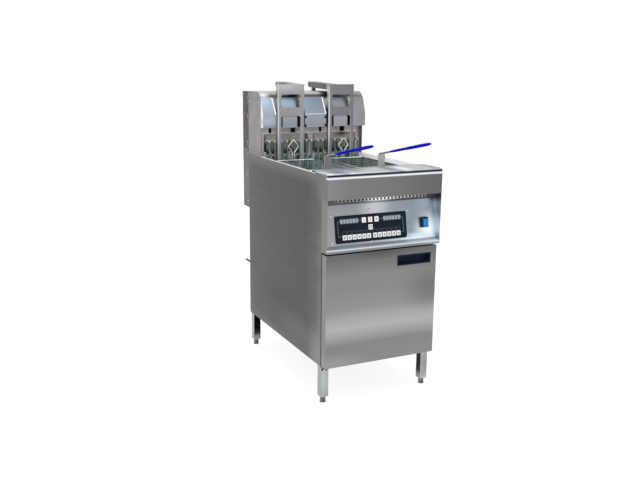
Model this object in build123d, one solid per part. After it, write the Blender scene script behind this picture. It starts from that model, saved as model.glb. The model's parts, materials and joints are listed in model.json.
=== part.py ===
"""Floor-standing electric deep fryer: one wide vat, two wire baskets, each hung on its own powered lift.

Millimetres. X runs to the right seen from the front, Y to the back, Z up from the floor.
Depths are written from the face of the front fascia, and the finished pieces are moved
together so that the origin lies under the middle of the whole machine.
"""
from build123d import *
import math
import os

# Cabinet
width = 480.0
cabinet_depth = 776.0
leg_height = 150.0
side_deck_height = 872.0
sheet = 1.5
seam = 0.3
edge_return = 14.0
tray_flange = 20.0

# Legs and levelling feet
leg_size = 31.0
leg_wall = 2.0
leg_inset = 4.0
leg_plug = 5.0
foot_height = 25.0
foot_radius = 10.5
foot_flare = 1.5
foot_flare_height = 6.0
foot_stem_radius = 5.0
foot_stem_reach = 16.0
running_clearance = 0.05

# Front: door, control panel, fascia and front deck
door_setback = 7.0
door_thickness = 34.0
door_floor_gap = 2.0
door_top_gap = 7.0
door_left_gap = 1.0
door_right_gap = 8.0
hinge_swing_gap = 4.0
hinge_inset_x = 8.0
hinge_inset_y = 20.0
hinge_pin_radius = 4.0
hinge_plate = 3.0
hinge_plate_width = 16.0
hinge_tab_height = 15.0
hinge_boss = 16.0
hinge_boss_height = 12.0
hinge_gap = 0.5
control_lip = 13.0
control_rise = 157.0
control_fold_rise = 10.0
control_fold_setback = 17.0
control_top_gap = 2.0
strip_drop = 25.0
fascia_drop = 87.0
front_deck_step = 7.0
front_deck_depth = 130.0
cheek_depth = 100.0
nose_radius = 14.0
vent_count = 25
vent_width = 6.0
vent_length = 18.0
vent_left_gap = 34.0
vent_right_gap = 78.8
vent_edge = 13.0

# Door handle: a dished cup let into the door
handle_width = 141.0
handle_height = 34.0
handle_right_gap = 29.0
handle_below_top = 29.0
handle_depth = 22.0
handle_wall = 2.0
handle_rim = 3.0
handle_rim_thickness = 1.5

# Keypad and power switch on the sloping panel, measured from the middle and up the slope
overlay_width = 300.0
overlay_height = 100.0
overlay_left_gap = 44.5
overlay_s = 58.6
overlay_thickness = 2.0
overlay_radius = 7.0
key_proud = 1.2
key_travel = 0.8
small_key = (17.0, 18.0)
small_key_pitch = 20.1
small_key_drop = 30.0
small_key_row = 6
small_row_gap = 5.3
large_key = (17.5, 19.5)
large_key_pitch = 26.5
large_key_rise = 29.0
large_row_pitch = 27.5
large_key_shift = -4.1
rocker_right_gap = 56.7
rocker_s = 60.0
bezel_size = (28.0, 38.0)
bezel_height = 10.0
bezel_wall = 3.0
rocker_proud = 7.0
rocker_tilt = 8.0
rocker_gap = 0.6
rocker_pin_radius = 1.5
rocker_pin_reach = 2.0

# Vat
vat_side_gap = 22.0
vat_front_gap = 22.0
vat_rear_gap = 8.0
rim_drop = 14.0
rim_run = 10.0
vat_wall_depth = 180.0
vat_depth = 272.0
sump_half_width = 110.0
sump_inset = 60.0
drain_setback = 23.0
drain_pipe_radius = 17.0
drain_bore_radius = 13.5
drain_neck = 40.0
valve_radius = 25.0
valve_height = 42.0
outlet_length = 32.0
bonnet_radius = 11.0
bonnet_length = 14.0
lever_length = 92.0
lever_width = 16.0
lever_thickness = 4.0
lever_stem_radius = 4.0
lever_stem_reach = 9.0

# Heating elements: hairpins that come over the vat's rear rim
element_across_flats = 8.5
element_pairs = 4
element_first_x = 15.0
element_wall_gap = 9.2
element_turn_flat = 1.0
element_rise = 64.0
element_riser_inset = 11.0
element_over = 32.0
element_bed_gap = 8.0
element_front_inset = 40.0
element_turn_radius = 11.5
gland_radius = 8.0
gland_height = 12.0

# Rear housing, hood and covers
housing_depth = 144.0
housing_rise = 266.0
housing_radius = 40.0
top_cover_drop = 72.0
hood_depth = 24.5
hood_clear = 120.0
hood_face_height = 54.0
hood_top_drop = 23.0
outer_slot_gap = 2.5
outer_slot_width = 28.0
inner_slot_gap = 7.5
inner_slot_width = 36.0
back_wall_setback = 24.5
back_wall_post = 9.5
back_wall_margin = 22.0
back_wall_lintel = 30.0
lintel_notches = ((-72.0, 12.0), (34.0, 22.0))
lintel_notch_drop = 26.0
back_wall_sill = 4.0
back_wall_opening_radius = 12.0
recess_depth = 27.0
rear_cover_depth = 69.0
rear_cover_reach = 240.0
rear_cover_seam_rise = 20.0
rear_cover_drop = 3.0
standoff_radius = 4.0
standoff_height = 380.0
standoff_inset = 8.0

# Lifts
lift_travel = 160.0
frame_inner_gap = 14.1
frame_outer_gap = 7.3
frame_plate = 2.0
frame_proud = 7.5
frame_flange = 17.0
frame_post = 16.0
hang_bar_drop = 12.0
hang_bar_height = 56.0
mid_bar_height = 36.0
upper_window = 53.0
top_bar_height = 41.0
window_radius = 10.0
arm_width = 43.0
arm_height = 24.0
arm_clear = 8.0
arm_overhang = 35.0
arm_rise = 6.0
arm_chamfer = 6.0
arm_pin_radius = 4.0
arm_pin_drop = 12.0
arm_pin_head = 2.0
arm_pin_clearance = 0.1
glide_radius = 6.0
glide_proud = 9.5
glide_edge = 6.0
glide_pitch = 37.0

# Rack drive behind the housing
rack_size = 14.0
rack_standoff = 22.0
rack_tail = 70.0
gear_module = 2.0
pinion_teeth = 18
pinion_rise = 38.0
backlash = 0.3
pinion_face = 13.0
pinion_shaft_radius = 5.0
pinion_shaft_reach = 16.0
guide_gap = 0.3
guide_wall = 8.0
guide_height = 28.0
lower_guide_rise = 73.0
upper_guide_drop = 37.0
gearbox_width = 48.0
gearbox_height = 70.0
gearbox_gap = 2.0
gearbox_back_gap = 3.0
motor_inset = 1.0
motor_length = 105.0
drive_post_radius = 5.0
drive_post_drop = 25.0
drive_post_offset = 18.0

# Baskets and their handles
basket_wall_gap = 2.5
basket_front_gap = 98.0
basket_hang_gap = 22.0
basket_depth = 122.0
basket_rim_drop = 14.0
rim_wire = 3.0
net_thickness = 2.0
net_pitch = 44.0
net_wire = 4.0
rim_corner = 8.0
bracket_width = 30.0
bracket_thickness = 2.5
bracket_rise = 54.0
handle_slope = 11.7
stem_spacing = 16.0
stem_wire = 3.0
stem_length = 73.5
grip_length = 276.0
grip_stations = ((0.0, 11.0, 4.2), (0.12, 13.0, 4.8), (0.45, 12.0, 5.2), (0.6, 7.5, 6.4), (0.8, 11.5, 6.4),
                 (0.94, 10.5, 5.6), (1.0, 4.0, 2.4))
grip_steps = 3
grip_sides = 12
hook_spacing = 60.0
hook_width = 14.0
hook_sheet = 2.0
hook_seat_gap = 0.3
hook_lip = 14.0
hook_back_gap = 1.0
hook_plate_drop = 40.0
loop_wire = 2.5
loop_half_width = 23.0
loop_rise = 82.0
loop_neck_rise = 32.0
loop_neck_spacing = 9.0
loop_bend = 4.0

# Places worked out from the sizes above
half = width / 2
inner_half = half - sheet
side_front = door_setback + door_thickness + hinge_swing_gap
front_deck_height = side_deck_height + front_deck_step
fascia_bottom = side_deck_height - fascia_drop
control_low_z = fascia_bottom - strip_drop - control_rise
control_bottom = control_low_z - control_lip
control_setback = side_front - control_top_gap
control_fold_z = control_low_z + control_fold_rise
vent_first_x = -half + vent_left_gap
vent_pitch = (width - vent_left_gap - vent_right_gap) / (vent_count - 1)
door_bottom = leg_height + door_floor_gap
door_top = control_bottom - door_top_gap
door_left = -half + door_left_gap
door_right = half - door_right_gap
hinge_x = -half + hinge_inset_x
hinge_y = door_setback + hinge_inset_y
handle_left_x = door_right - handle_right_gap - handle_width
overlay_x = -half + overlay_left_gap + overlay_width / 2
rocker_x = half - rocker_right_gap
flange_z = side_deck_height - sheet
housing_front = cabinet_depth - housing_depth
housing_height = side_deck_height + housing_rise
rear_face = cabinet_depth + rear_cover_depth
rear_cover_bottom = side_deck_height - rear_cover_reach
rear_cover_split = side_deck_height + rear_cover_seam_rise
rear_cover_top = housing_height - rear_cover_drop
hood_front = housing_front - hood_depth
hood_bottom = side_deck_height + hood_clear
hood_break = hood_bottom + hood_face_height
hood_slope_rise = housing_height - hood_top_drop - hood_break
back_wall_y = housing_front + back_wall_setback
back_wall_opening_top = hood_bottom - back_wall_lintel
vat_half_width = half - vat_side_gap
vat_front = front_deck_depth + vat_front_gap
vat_rear = housing_front - vat_rear_gap
vat_wall_bottom = side_deck_height - vat_wall_depth
vat_bottom = side_deck_height - vat_depth
drain_y = vat_front + sump_inset + drain_setback
riser_y = vat_rear - element_riser_inset
element_top = side_deck_height + element_rise
element_bed = vat_wall_bottom + element_bed_gap
element_leg_spacing = 2 * element_turn_radius + element_turn_flat
element_last_x = vat_half_width - element_wall_gap - element_leg_spacing
element_pair_pitch = (element_last_x - element_first_x) / (element_pairs - 1)
frame_left = element_first_x + element_pair_pitch - frame_inner_gap
frame_right = element_last_x - frame_outer_gap
frame_width = frame_right - frame_left
frame_front = hood_front - frame_proud
frame_top = housing_height + arm_clear + arm_height
window_top = frame_top - top_bar_height
mid_bar_top = window_top - upper_window
mid_bar_bottom = mid_bar_top - mid_bar_height
lift_x = (frame_left + frame_right) / 2
basket_half_width = vat_half_width - basket_wall_gap - lift_x
basket_front = vat_front + basket_front_gap
basket_rear = frame_front - basket_hang_gap
basket_length = basket_rear - basket_front
basket_rim_height = side_deck_height - basket_rim_drop
basket_floor = basket_rim_height - rim_wire - basket_depth
hang_bar_top = basket_rim_height - hang_bar_drop
frame_bottom = hang_bar_top - hang_bar_height
bracket_top = basket_rim_height + bracket_rise
loop_top = basket_rim_height + loop_rise
loop_neck = basket_rim_height + loop_neck_rise
arm_rear = cabinet_depth + arm_overhang
rack_x = frame_left + arm_width / 2
rack_y = cabinet_depth + rack_standoff
pinion_z = rear_cover_split + pinion_rise
rack_bottom = pinion_z - lift_travel - rack_tail
gearbox_front = rack_y + pinion_face / 2 + gearbox_gap
gearbox_depth = rear_face - sheet - gearbox_back_gap - gearbox_front
pinion_radius = gear_module * pinion_teeth / 2
pinion_x = rack_x - rack_size / 2 + gear_module - pinion_radius
grip_tip = basket_front - rim_wire - (stem_length + grip_length) * math.cos(math.radians(handle_slope))
middle_y = (grip_tip + rear_face) / 2


def slab(x0, x1, y0, y1, z0, z1):
    """Block between two opposite corners."""
    return Pos((x0 + x1) / 2, (y0 + y1) / 2, (z0 + z1) / 2) * Box(x1 - x0, y1 - y0, z1 - z0)


def profile(points, rounded=()):
    """Closed outline of straight runs; rounded lists corners as (point, radius)."""
    face = make_face(Polyline(*points, close=True))
    for corner, radius in rounded:
        nearest = face.vertices().sort_by_distance(Vector(*corner))[0]
        face = fillet(nearest, radius)
    return face


def along_x(face, x0, x1):
    """Side outline, drawn as depth and height, pulled out from x0 to x1."""
    return Pos(x0, 0, 0) * extrude(Plane.YZ * face, amount=x1 - x0)


def along_y(face, y0, y1):
    """Front outline, drawn as X and height, pulled back from y0 to y1."""
    return extrude(Plane((0, y0, 0), x_dir=(1, 0, 0), z_dir=(0, -1, 0)) * face, amount=y0 - y1)


def folded(points, thickness):
    """Outline of a sheet bent along a path, with its thickness on the left of the path."""
    offset_points = []
    for i, (u, v) in enumerate(points):
        before = points[max(i - 1, 0)]
        after = points[min(i + 1, len(points) - 1)]
        normals = []
        for (u0, v0), (u1, v1) in ((before, (u, v)), ((u, v), after)):
            length = math.hypot(u1 - u0, v1 - v0)
            if length > 0:
                normals.append((-(v1 - v0) / length, (u1 - u0) / length))
        nu = sum(n[0] for n in normals) / len(normals)
        nv = sum(n[1] for n in normals) / len(normals)
        scale = thickness / (nu * nu + nv * nv)
        offset_points.append((u + nu * scale, v + nv * scale))
    return list(points) + offset_points[::-1]


def bent(points, radius, chords=2):
    """Points of a wire's path with each inner corner rounded by a few short chords."""
    path = [Vector(*points[0])]
    for before, corner, after in zip(points, points[1:], points[2:]):
        corner = Vector(*corner)
        back = (Vector(*before) - corner).normalized()
        ahead = (Vector(*after) - corner).normalized()
        half_turn = math.radians(180 - back.get_angle(ahead)) / 2
        inward = (back + ahead).normalized()
        centre = corner + inward * (radius / math.cos(half_turn))
        side = (ahead - back).normalized()
        for k in range(chords + 1):
            swing = half_turn * (2 * k / chords - 1)
            path.append(centre - inward * (radius * math.cos(swing)) + side * (radius * math.sin(swing)))
    path.append(Vector(*points[-1]))
    return path


def wire_along(path, radius):
    """Six-sided wire along straight runs, mitred where they meet."""
    corner_radius = radius / math.cos(math.pi / 6)
    runs = [(b - a).normalized() for a, b in zip(path, path[1:])]
    start = Plane(path[0], z_dir=runs[0])
    rays = []
    for k in range(6):
        angle = math.pi * k / 3
        rays.append((start.x_dir * math.cos(angle) + start.y_dir * math.sin(angle)) * corner_radius)
    rings = []
    for point, arriving, leaving in zip(path, runs[:1] + runs, runs + runs[-1:]):
        mitre = (arriving + leaving).normalized()
        cut = [ray - arriving * (ray.dot(mitre) / arriving.dot(mitre)) for ray in rays]
        rings.append([point + ray for ray in cut])
        rays = [ray - leaving * ray.dot(leaving) for ray in cut]
    outlines = [rings[0], rings[-1]]
    for ring, following in zip(rings, rings[1:]):
        outlines += [(ring[k - 1], ring[k], following[k], following[k - 1]) for k in range(6)]
    return Solid(Shell([Face(Wire.make_polygon(outline)) for outline in outlines]))


def stud(radius, length):
    """Plain round stud about the Z axis, drawn with twelve sides."""
    return extrude(RegularPolygon(radius, 12), amount=length / 2, both=True)


def both_sides(shape):
    """A piece and its mirror image across the machine's middle."""
    return {"right": shape, "left": mirror(shape, about=Plane.YZ)}


def side_panel():
    """Right cabinet side with its front edge turned in."""
    wall = slab(inner_half, half, side_front, cabinet_depth, leg_height, flange_z)
    turned = slab(half - edge_return, half, side_front, side_front + sheet, leg_height, flange_z)
    return wall + turned


def bottom_tray():
    """Cabinet floor with upturned edges on all four sides."""
    outer = slab(-inner_half, inner_half, side_front, cabinet_depth - sheet,
                 leg_height, leg_height + tray_flange)
    room = slab(-inner_half + sheet, inner_half - sheet, side_front + sheet, cabinet_depth - 2 * sheet,
                leg_height + sheet, leg_height + tray_flange)
    corner = inner_half - edge_return
    corners = slab(corner, inner_half, side_front, side_front + sheet, leg_height, leg_height + tray_flange)
    tray = outer - room
    for piece in both_sides(corners).values():
        tray -= piece
    return tray


def leg_centres():
    """Names and places of the four legs."""
    x = half - leg_inset - leg_size / 2
    front = side_front + leg_size / 2
    rear = cabinet_depth - leg_inset - leg_size / 2
    return {"front_left": (-x, front), "front_right": (x, front),
            "rear_left": (-x, rear), "rear_right": (x, rear)}


def leg():
    """Square tube with a tapped plug in its lower end, on the Z axis."""
    tube = Pos(0, 0, (foot_height + leg_height) / 2) * Box(leg_size, leg_size, leg_height - foot_height)
    room = leg_size - 2 * leg_wall
    hollow = slab(-room / 2, room / 2, -room / 2, room / 2, foot_height + leg_plug, leg_height)
    bore = Cylinder(foot_stem_radius + running_clearance, 4 * leg_plug)
    return tube - hollow - Pos(0, 0, foot_height) * bore


def foot():
    """Levelling foot: a flared twelve-sided base on a round stem that screws into the leg."""
    flare = extrude(RegularPolygon(foot_radius + foot_flare, 12), amount=foot_flare_height,
                    taper=math.degrees(math.atan2(foot_flare, foot_flare_height)))
    shank = extrude(flare.faces().sort_by(Axis.Z)[-1], amount=foot_height - seam - foot_flare_height)
    stem_bottom = foot_height / 2
    stem_length_up = foot_height + foot_stem_reach - stem_bottom
    stem = Pos(0, 0, stem_bottom + stem_length_up / 2) * Cylinder(foot_stem_radius, stem_length_up)
    return flare + shank + stem


def fascia():
    """Front deck, rounded nose, fascia and the vented strip turned in under it, with closed ends."""
    nose = (0, front_deck_height)
    path = [(front_deck_depth, side_deck_height), (front_deck_depth, front_deck_height), nose,
            (0, fascia_bottom)]
    outline = folded(path, sheet)
    inner_nose = (sheet, front_deck_height - sheet)
    bent = profile(outline, ((nose, nose_radius), (inner_nose, nose_radius - sheet)))
    strip_half = inner_half - seam
    strip_run = (control_setback - 2 * seam, control_low_z + control_rise + seam)
    strip = along_x(profile(folded([(0, fascia_bottom), strip_run], sheet)), -strip_half, strip_half)
    strip -= slab(-half, half, -sheet, 0, 0, fascia_bottom + 2 * sheet)
    slope = Plane((0, 0, fascia_bottom), x_dir=(1, 0, 0),
                  z_dir=(0, strip_run[1] - fascia_bottom, -strip_run[0]))
    for i in range(vent_count):
        hole = Box(vent_width, vent_length, 6 * sheet)
        strip -= slope * Pos(vent_first_x + i * vent_pitch, -vent_edge, 0) * hole
    sheet_metal = along_x(bent, -half, half) + strip
    front_end = profile([(0, fascia_bottom), (side_front - seam, fascia_bottom),
                         (side_front - seam, flange_z), (cheek_depth, flange_z),
                         (cheek_depth, front_deck_height), (0, front_deck_height)],
                        (((0, front_deck_height), nose_radius),))
    for end in both_sides(along_x(front_end, inner_half, half)).values():
        sheet_metal += end
    return sheet_metal


panel_plane = Plane((0, control_fold_setback, control_fold_z), x_dir=(1, 0, 0),
                    z_dir=(0, control_fold_rise - control_rise, control_setback - control_fold_setback))


def on_panel(x, s, height, shape):
    """Stands a shape on the sloping panel's face."""
    return panel_plane * Pos(x, s, height) * shape


def key_places():
    """Every key as (name, x, s, width, height)."""
    keys = []
    row_length = small_key_row * small_key_pitch
    for row, side in enumerate((-1, 1)):
        middle = overlay_x + side * (row_length + small_row_gap) / 2
        for i in range(small_key_row):
            number = row * small_key_row + i + 1
            x = middle + (i - (small_key_row - 1) / 2) * small_key_pitch
            keys.append((f"key_{number:02d}", x, overlay_s - small_key_drop, *small_key))
    large_x = overlay_x + large_key_shift
    large_s = overlay_s + large_key_rise
    for i, name in enumerate(("key_down", "key_set", "key_up")):
        keys.append((name, large_x + (i - 1) * large_key_pitch, large_s, *large_key))
    keys.append(("key_select", large_x, large_s - large_row_pitch, *large_key))
    return keys


def control_panel():
    """Sloping panel folded out to a lip, with bottom return and cheeks, cut out behind keypad and switch."""
    path = [(control_setback, control_low_z + control_rise), (control_fold_setback, control_fold_z),
            (0, control_low_z), (0, control_bottom), (side_front - seam, control_bottom)]
    panel = along_x(profile(folded(path, sheet)), -half, half)
    cheek = slab(inner_half, half, 0, side_front - seam, control_bottom, fascia_bottom - seam)
    for end in both_sides(cheek).values():
        panel += end
    margin = 2 * overlay_radius
    window = Box(overlay_width - margin, overlay_height - margin, 8 * sheet)
    panel -= on_panel(overlay_x, overlay_s, 0, window)
    switch_hole = Box(bezel_size[0] - 2 * bezel_wall, bezel_size[1] - 2 * bezel_wall, 8 * sheet)
    return panel - on_panel(rocker_x, rocker_s, 0, switch_hole)


def control_overlay():
    """Black keypad plate with a window for each key."""
    plate = extrude(RectangleRounded(overlay_width, overlay_height, overlay_radius), amount=overlay_thickness)
    for name, x, s, w, h in key_places():
        hole = Pos(x - overlay_x, s - overlay_s, 0) * Box(w + 2 * seam, h + 2 * seam, 4 * overlay_thickness)
        plate -= hole
    return on_panel(overlay_x, overlay_s, 0, plate)


def key(x, s, w, h):
    """One flat key cap, its back level with the back of the keypad plate."""
    depth = overlay_thickness + key_proud
    cap = Box(w, h, depth, align=(Align.CENTER, Align.CENTER, Align.MIN))
    return on_panel(x, s, 0, cap)


def rocker_bezel():
    """Black switch body standing on the panel, with a pocket and pivot holes for the rocker."""
    w, h = bezel_size
    body = Box(w, h, bezel_height, align=(Align.CENTER, Align.CENTER, Align.MIN))
    pocket = Box(w - 2 * bezel_wall, h - 2 * bezel_wall, 4 * bezel_height)
    pivot = Rot(0, 90, 0) * Cylinder(rocker_pin_radius + running_clearance, w)
    body = body - pocket - Pos(0, 0, bezel_height / 2) * pivot
    return on_panel(rocker_x, rocker_s, 0, body)


def power_rocker():
    """Blue rocker with two pads that meet in a shallow dip, tipped to one side, on side pins."""
    w = bezel_size[0] - 2 * bezel_wall - 2 * rocker_gap
    reach = bezel_size[1] / 2 - bezel_wall - 2.5 * rocker_gap
    top = bezel_height / 2 + rocker_proud
    dip = top - reach * math.sin(math.radians(rocker_tilt))
    outline = Polyline((-reach, 0), (-reach, top), (0, dip), (reach, top), (reach, 0),
                       (0.6 * reach, -bezel_height / 3), (-0.6 * reach, -bezel_height / 3), close=True)
    block = Pos(-w / 2, 0, 0) * extrude(Plane.YZ * make_face(outline), amount=w)
    pin_length = w + 2 * rocker_gap + 2 * rocker_pin_reach
    block += Rot(0, 90, 0) * Cylinder(rocker_pin_radius, pin_length)
    return on_panel(rocker_x, rocker_s, bezel_height / 2, Rot(rocker_tilt, 0, 0) * block)


def handle_opening(extra):
    """Edges of the door's handle opening, grown by a margin: left, right, bottom, top."""
    top = door_top - handle_below_top
    return (handle_left_x - extra, handle_left_x + handle_width + extra,
            top - handle_height - extra, top + extra)


def door():
    """Door pan: front skin with turned edges, hinge bosses on the left and the handle's opening."""
    back = door_setback + door_thickness
    pan = slab(door_left, door_right, door_setback, back, door_bottom, door_top)
    pan -= slab(door_left + sheet, door_right - sheet, door_setback + sheet, back,
                door_bottom + sheet, door_top - sheet)
    for low in (door_bottom, door_top - hinge_boss_height):
        boss = slab(door_left, hinge_x + hinge_boss / 2, hinge_y - hinge_boss / 2, hinge_y + hinge_boss / 2,
                    low, low + hinge_boss_height)
        pan += boss
    pan -= Pos(hinge_x, hinge_y, (door_bottom + door_top) / 2) * Cylinder(
        hinge_pin_radius + running_clearance, 2 * (door_top - door_bottom))
    left, right, bottom, top = handle_opening(seam)
    return pan - slab(left, right, 0, back, bottom, top)


def door_handle():
    """Black handle cup with a thin frame on the door's face and a lip to pull behind."""
    left, right, bottom, top = handle_opening(0)
    rim_left, rim_right, rim_bottom, rim_top = handle_opening(handle_rim)
    back = door_setback + handle_depth
    cup = slab(rim_left, rim_right, door_setback - handle_rim_thickness, door_setback, rim_bottom, rim_top)
    cup += slab(left, right, door_setback, back, bottom, top)
    wall = handle_wall
    room = profile([(door_setback - handle_rim_thickness, bottom + wall), (back - wall, bottom + 2 * wall),
                    (back - wall, top - wall), (door_setback - handle_rim_thickness, top - wall)])
    return cup - along_x(room, left + wall, right - wall)


def door_hinges():
    """Upper and lower pivot plates on the left cabinet side, each with a pin into the door."""
    hinges = None
    left = -inner_half
    right = left + hinge_plate_width
    plates = ((door_top + hinge_gap, 1, door_top), (door_bottom - hinge_gap - hinge_plate, -1, door_bottom))
    for z, up, door_end in plates:
        plate = slab(left, right, hinge_y - hinge_boss / 2, side_front, z, z + hinge_plate)
        tab_low = z if up < 0 else z + hinge_plate - hinge_tab_height
        tab = slab(left, right, side_front - sheet, side_front, tab_low, tab_low + hinge_tab_height)
        pin_far = door_end - up * (hinge_boss_height - hinge_gap)
        pin_near = z + hinge_plate / 2
        pin = Cylinder(hinge_pin_radius, abs(pin_near - pin_far))
        pin = Pos(hinge_x, hinge_y, (pin_far + pin_near) / 2) * pin
        piece = plate + tab + pin
        hinges = piece if hinges is None else hinges + piece
    return hinges


def tank(extra):
    """Vat volume: sloping rim, straight walls and a tapered sump; extra grows it by the wall."""
    rear = vat_rear + extra

    def section(half_width, front, back, z):
        return Pos(0, (front + back) / 2, z) * Rectangle(2 * half_width, back - front)

    mouth = section(vat_half_width + rim_run + extra, vat_front - rim_run - extra, rear, side_deck_height)
    throat_z = side_deck_height - rim_drop
    throat = section(vat_half_width + extra, vat_front - extra, rear, throat_z)
    shoulder = section(vat_half_width + extra, vat_front - extra, rear, vat_wall_bottom)
    floor_rear = vat_rear - 2 * sump_inset + extra
    floor = section(sump_half_width + extra, vat_front + sump_inset - extra, floor_rear, vat_bottom - extra)
    straight = extrude(shoulder, amount=throat_z - vat_wall_bottom)
    return loft([throat, mouth], ruled=True) + straight + loft([floor, shoulder], ruled=True)


def vat():
    """Oil vat with its deck flange, sump and drain neck."""
    flange = slab(-half, half, cheek_depth + seam, housing_front - seam, flange_z, side_deck_height)
    flange += slab(-inner_half + seam, inner_half - seam, housing_front - 2 * seam, back_wall_y,
                   flange_z, side_deck_height)
    neck = Pos(0, drain_y, vat_bottom - drain_neck / 2) * Cylinder(drain_pipe_radius, drain_neck)
    bore = Pos(0, drain_y, vat_bottom - drain_neck / 2) * Cylinder(drain_bore_radius, 2 * drain_neck)
    return flange + tank(sheet) + neck - tank(0) - bore


valve_top = vat_bottom - drain_neck
valve_middle = valve_top - valve_height / 2
bonnet_front = drain_y - valve_radius - bonnet_length


def drain_valve():
    """Ball valve under the vat: six-sided body, outlet spout and a bonnet for the lever's stem."""
    block = extrude(RegularPolygon(valve_radius, 6), amount=valve_height / 2, both=True)
    body = Pos(0, drain_y, valve_middle) * block
    outlet = Cylinder(drain_pipe_radius, outlet_length)
    outlet = Pos(0, drain_y, valve_top - valve_height - outlet_length / 2) * outlet
    middle = (bonnet_front + drain_y) / 2
    bonnet = Pos(0, middle, valve_middle) * Rot(90, 0, 0) * stud(bonnet_radius, drain_y - bonnet_front)
    bore = Pos(0, drain_y, valve_middle) * Cylinder(drain_bore_radius, 4 * valve_height)
    stem_room = Pos(0, bonnet_front, valve_middle) * Rot(90, 0, 0) * Cylinder(
        lever_stem_radius + running_clearance, 2 * (lever_stem_reach + seam))
    return body + outlet + bonnet - bore - stem_room


def drain_lever():
    """Flat lever on the valve's stem, lying across the pipe when the valve is shut."""
    back = bonnet_front - seam
    outline = chamfer(Rectangle(lever_length, lever_width).vertices(), lever_width / 4)
    plate = extrude(outline, amount=lever_thickness)
    reach = (lever_length - lever_width) / 2
    upright = Plane((reach, back, valve_middle), x_dir=(1, 0, 0), z_dir=(0, -1, 0))
    stem = Pos(0, back + lever_stem_reach / 2, valve_middle) * Rot(90, 0, 0) * Cylinder(
        lever_stem_radius, lever_stem_reach)
    return upright * plate + stem


def heating_elements():
    """Hairpin tubes: gland on the deck, over the rear rim, down the vat, forward, round and back."""
    radius = element_across_flats / 2
    outer_y = riser_y + element_over
    front = vat_front + element_front_inset
    start = side_deck_height + gland_height
    tubes = []
    for side in (-1, 1):
        for i in range(element_pairs):
            near = side * (element_first_x + i * element_pair_pitch)
            far = near + side * element_leg_spacing
            down = [(near, outer_y, start), (near, outer_y, element_top), (near, riser_y, element_top),
                    (near, riser_y, element_bed), (near, front, element_bed)]
            back = [(far, y, z) for x, y, z in reversed(down)]
            tube = wire_along(bent(down + back, element_turn_radius), radius)
            for x in (near, far):
                gland = extrude(RegularPolygon(gland_radius, 6), amount=gland_height)
                tube += Pos(x, outer_y, side_deck_height) * gland
            tubes.append(tube)
    return Compound(children=tubes)


def back_panel():
    """Cabinet back between the sides, from the tray to the housing's top."""
    return slab(-inner_half, inner_half, cabinet_depth - sheet, cabinet_depth,
                leg_height, housing_height - sheet)


def housing_side():
    """Right side of the rear housing, with its rounded upper front corner."""
    outline = profile([(housing_front, flange_z), (cabinet_depth, flange_z), (cabinet_depth, housing_height),
                       (housing_front, housing_height)], (((housing_front, housing_height), housing_radius),))
    return along_x(outline, inner_half, half)


def top_cover():
    """Sheet over the housing that rolls down to the front behind the hood's upper edge."""
    corner = (housing_front, housing_height)
    inner = (housing_front + sheet, housing_height - sheet)
    path = [(cabinet_depth, housing_height), corner, (housing_front, housing_height - top_cover_drop)]
    outline = profile(folded(path, sheet), ((corner, housing_radius), (inner, housing_radius - sheet)))
    return along_x(outline, -inner_half, inner_half)


def hood_segments():
    """Left and right edges of the hood's five fronts, between the slots for the lift frames."""
    outer_edge = frame_right + outer_slot_gap
    outer_end = outer_edge - outer_slot_width
    inner_start = frame_left - inner_slot_gap
    inner_end = inner_start + inner_slot_width
    return ((-half, -outer_edge), (-outer_end, -inner_end), (-inner_start, inner_start),
            (inner_end, outer_end), (outer_edge, half))


def hood():
    """Slotted hood over the lifts: five boxed fronts with sloping tops, joined along the back."""
    back = housing_front
    hood_slope_run = back - hood_front
    top = hood_break + hood_slope_rise
    outline = profile([(back, hood_bottom), (hood_front, hood_bottom), (hood_front, hood_break), (back, top)])
    slope_length = math.hypot(hood_slope_run, hood_slope_rise)
    lean = sheet * slope_length / hood_slope_run
    bend = sheet * (slope_length - hood_slope_rise) / hood_slope_run
    room = profile([(back, hood_bottom + sheet), (hood_front + sheet, hood_bottom + sheet),
                    (hood_front + sheet, hood_break - bend), (back, top - lean)])
    shell = None
    for left, right in hood_segments():
        front = along_x(outline, left, right) - along_x(room, left + sheet, right - sheet)
        shell = front if shell is None else shell + front
    strip = slab(-inner_half + seam, inner_half - seam, back - sheet, back_wall_y,
                 hood_bottom, hood_bottom + sheet)
    return shell + strip


def glide_buttons():
    """Four black nylon buttons on the hood's middle front that steer the lift frames' inner flanges."""
    x = frame_left - seam - glide_radius
    buttons = []
    for side in (-1, 1):
        for z in (hood_bottom + glide_edge, hood_bottom + glide_edge + glide_pitch):
            middle = Pos(side * x, hood_front - glide_proud / 2, z)
            buttons.append(middle * Rot(90, 0, 0) * stud(glide_radius, glide_proud))
    return Compound(children=buttons)


def back_wall():
    """Wall behind the vat with a recess behind each lift and two notches above each recess."""
    wall = slab(-inner_half, inner_half, back_wall_y, back_wall_y + sheet, flange_z, hood_bottom + sheet)
    near, far = back_wall_post, half - back_wall_margin
    low = side_deck_height + back_wall_sill

    def opening(extra):
        top = back_wall_opening_top + extra
        outline = profile([(near - extra, low - extra), (far + extra, low - extra), (far + extra, top),
                           (near - extra, top)])
        corners = outline.vertices().group_by(Axis.Y)[-1]
        return fillet(corners, back_wall_opening_radius + extra)

    pan = along_y(opening(sheet), back_wall_y, back_wall_y + recess_depth + sheet)
    room = along_y(opening(0), back_wall_y - sheet, back_wall_y + recess_depth)
    for piece in both_sides(pan).values():
        wall += piece
    for piece in both_sides(room).values():
        wall -= piece
    for middle in (-lift_x, lift_x):
        for offset, notch_width in lintel_notches:
            left = middle + offset - notch_width / 2
            wall -= slab(left, left + notch_width, back_wall_y - sheet, back_wall_y + 2 * sheet,
                         hood_bottom - lintel_notch_drop, hood_bottom)
    return wall


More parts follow.
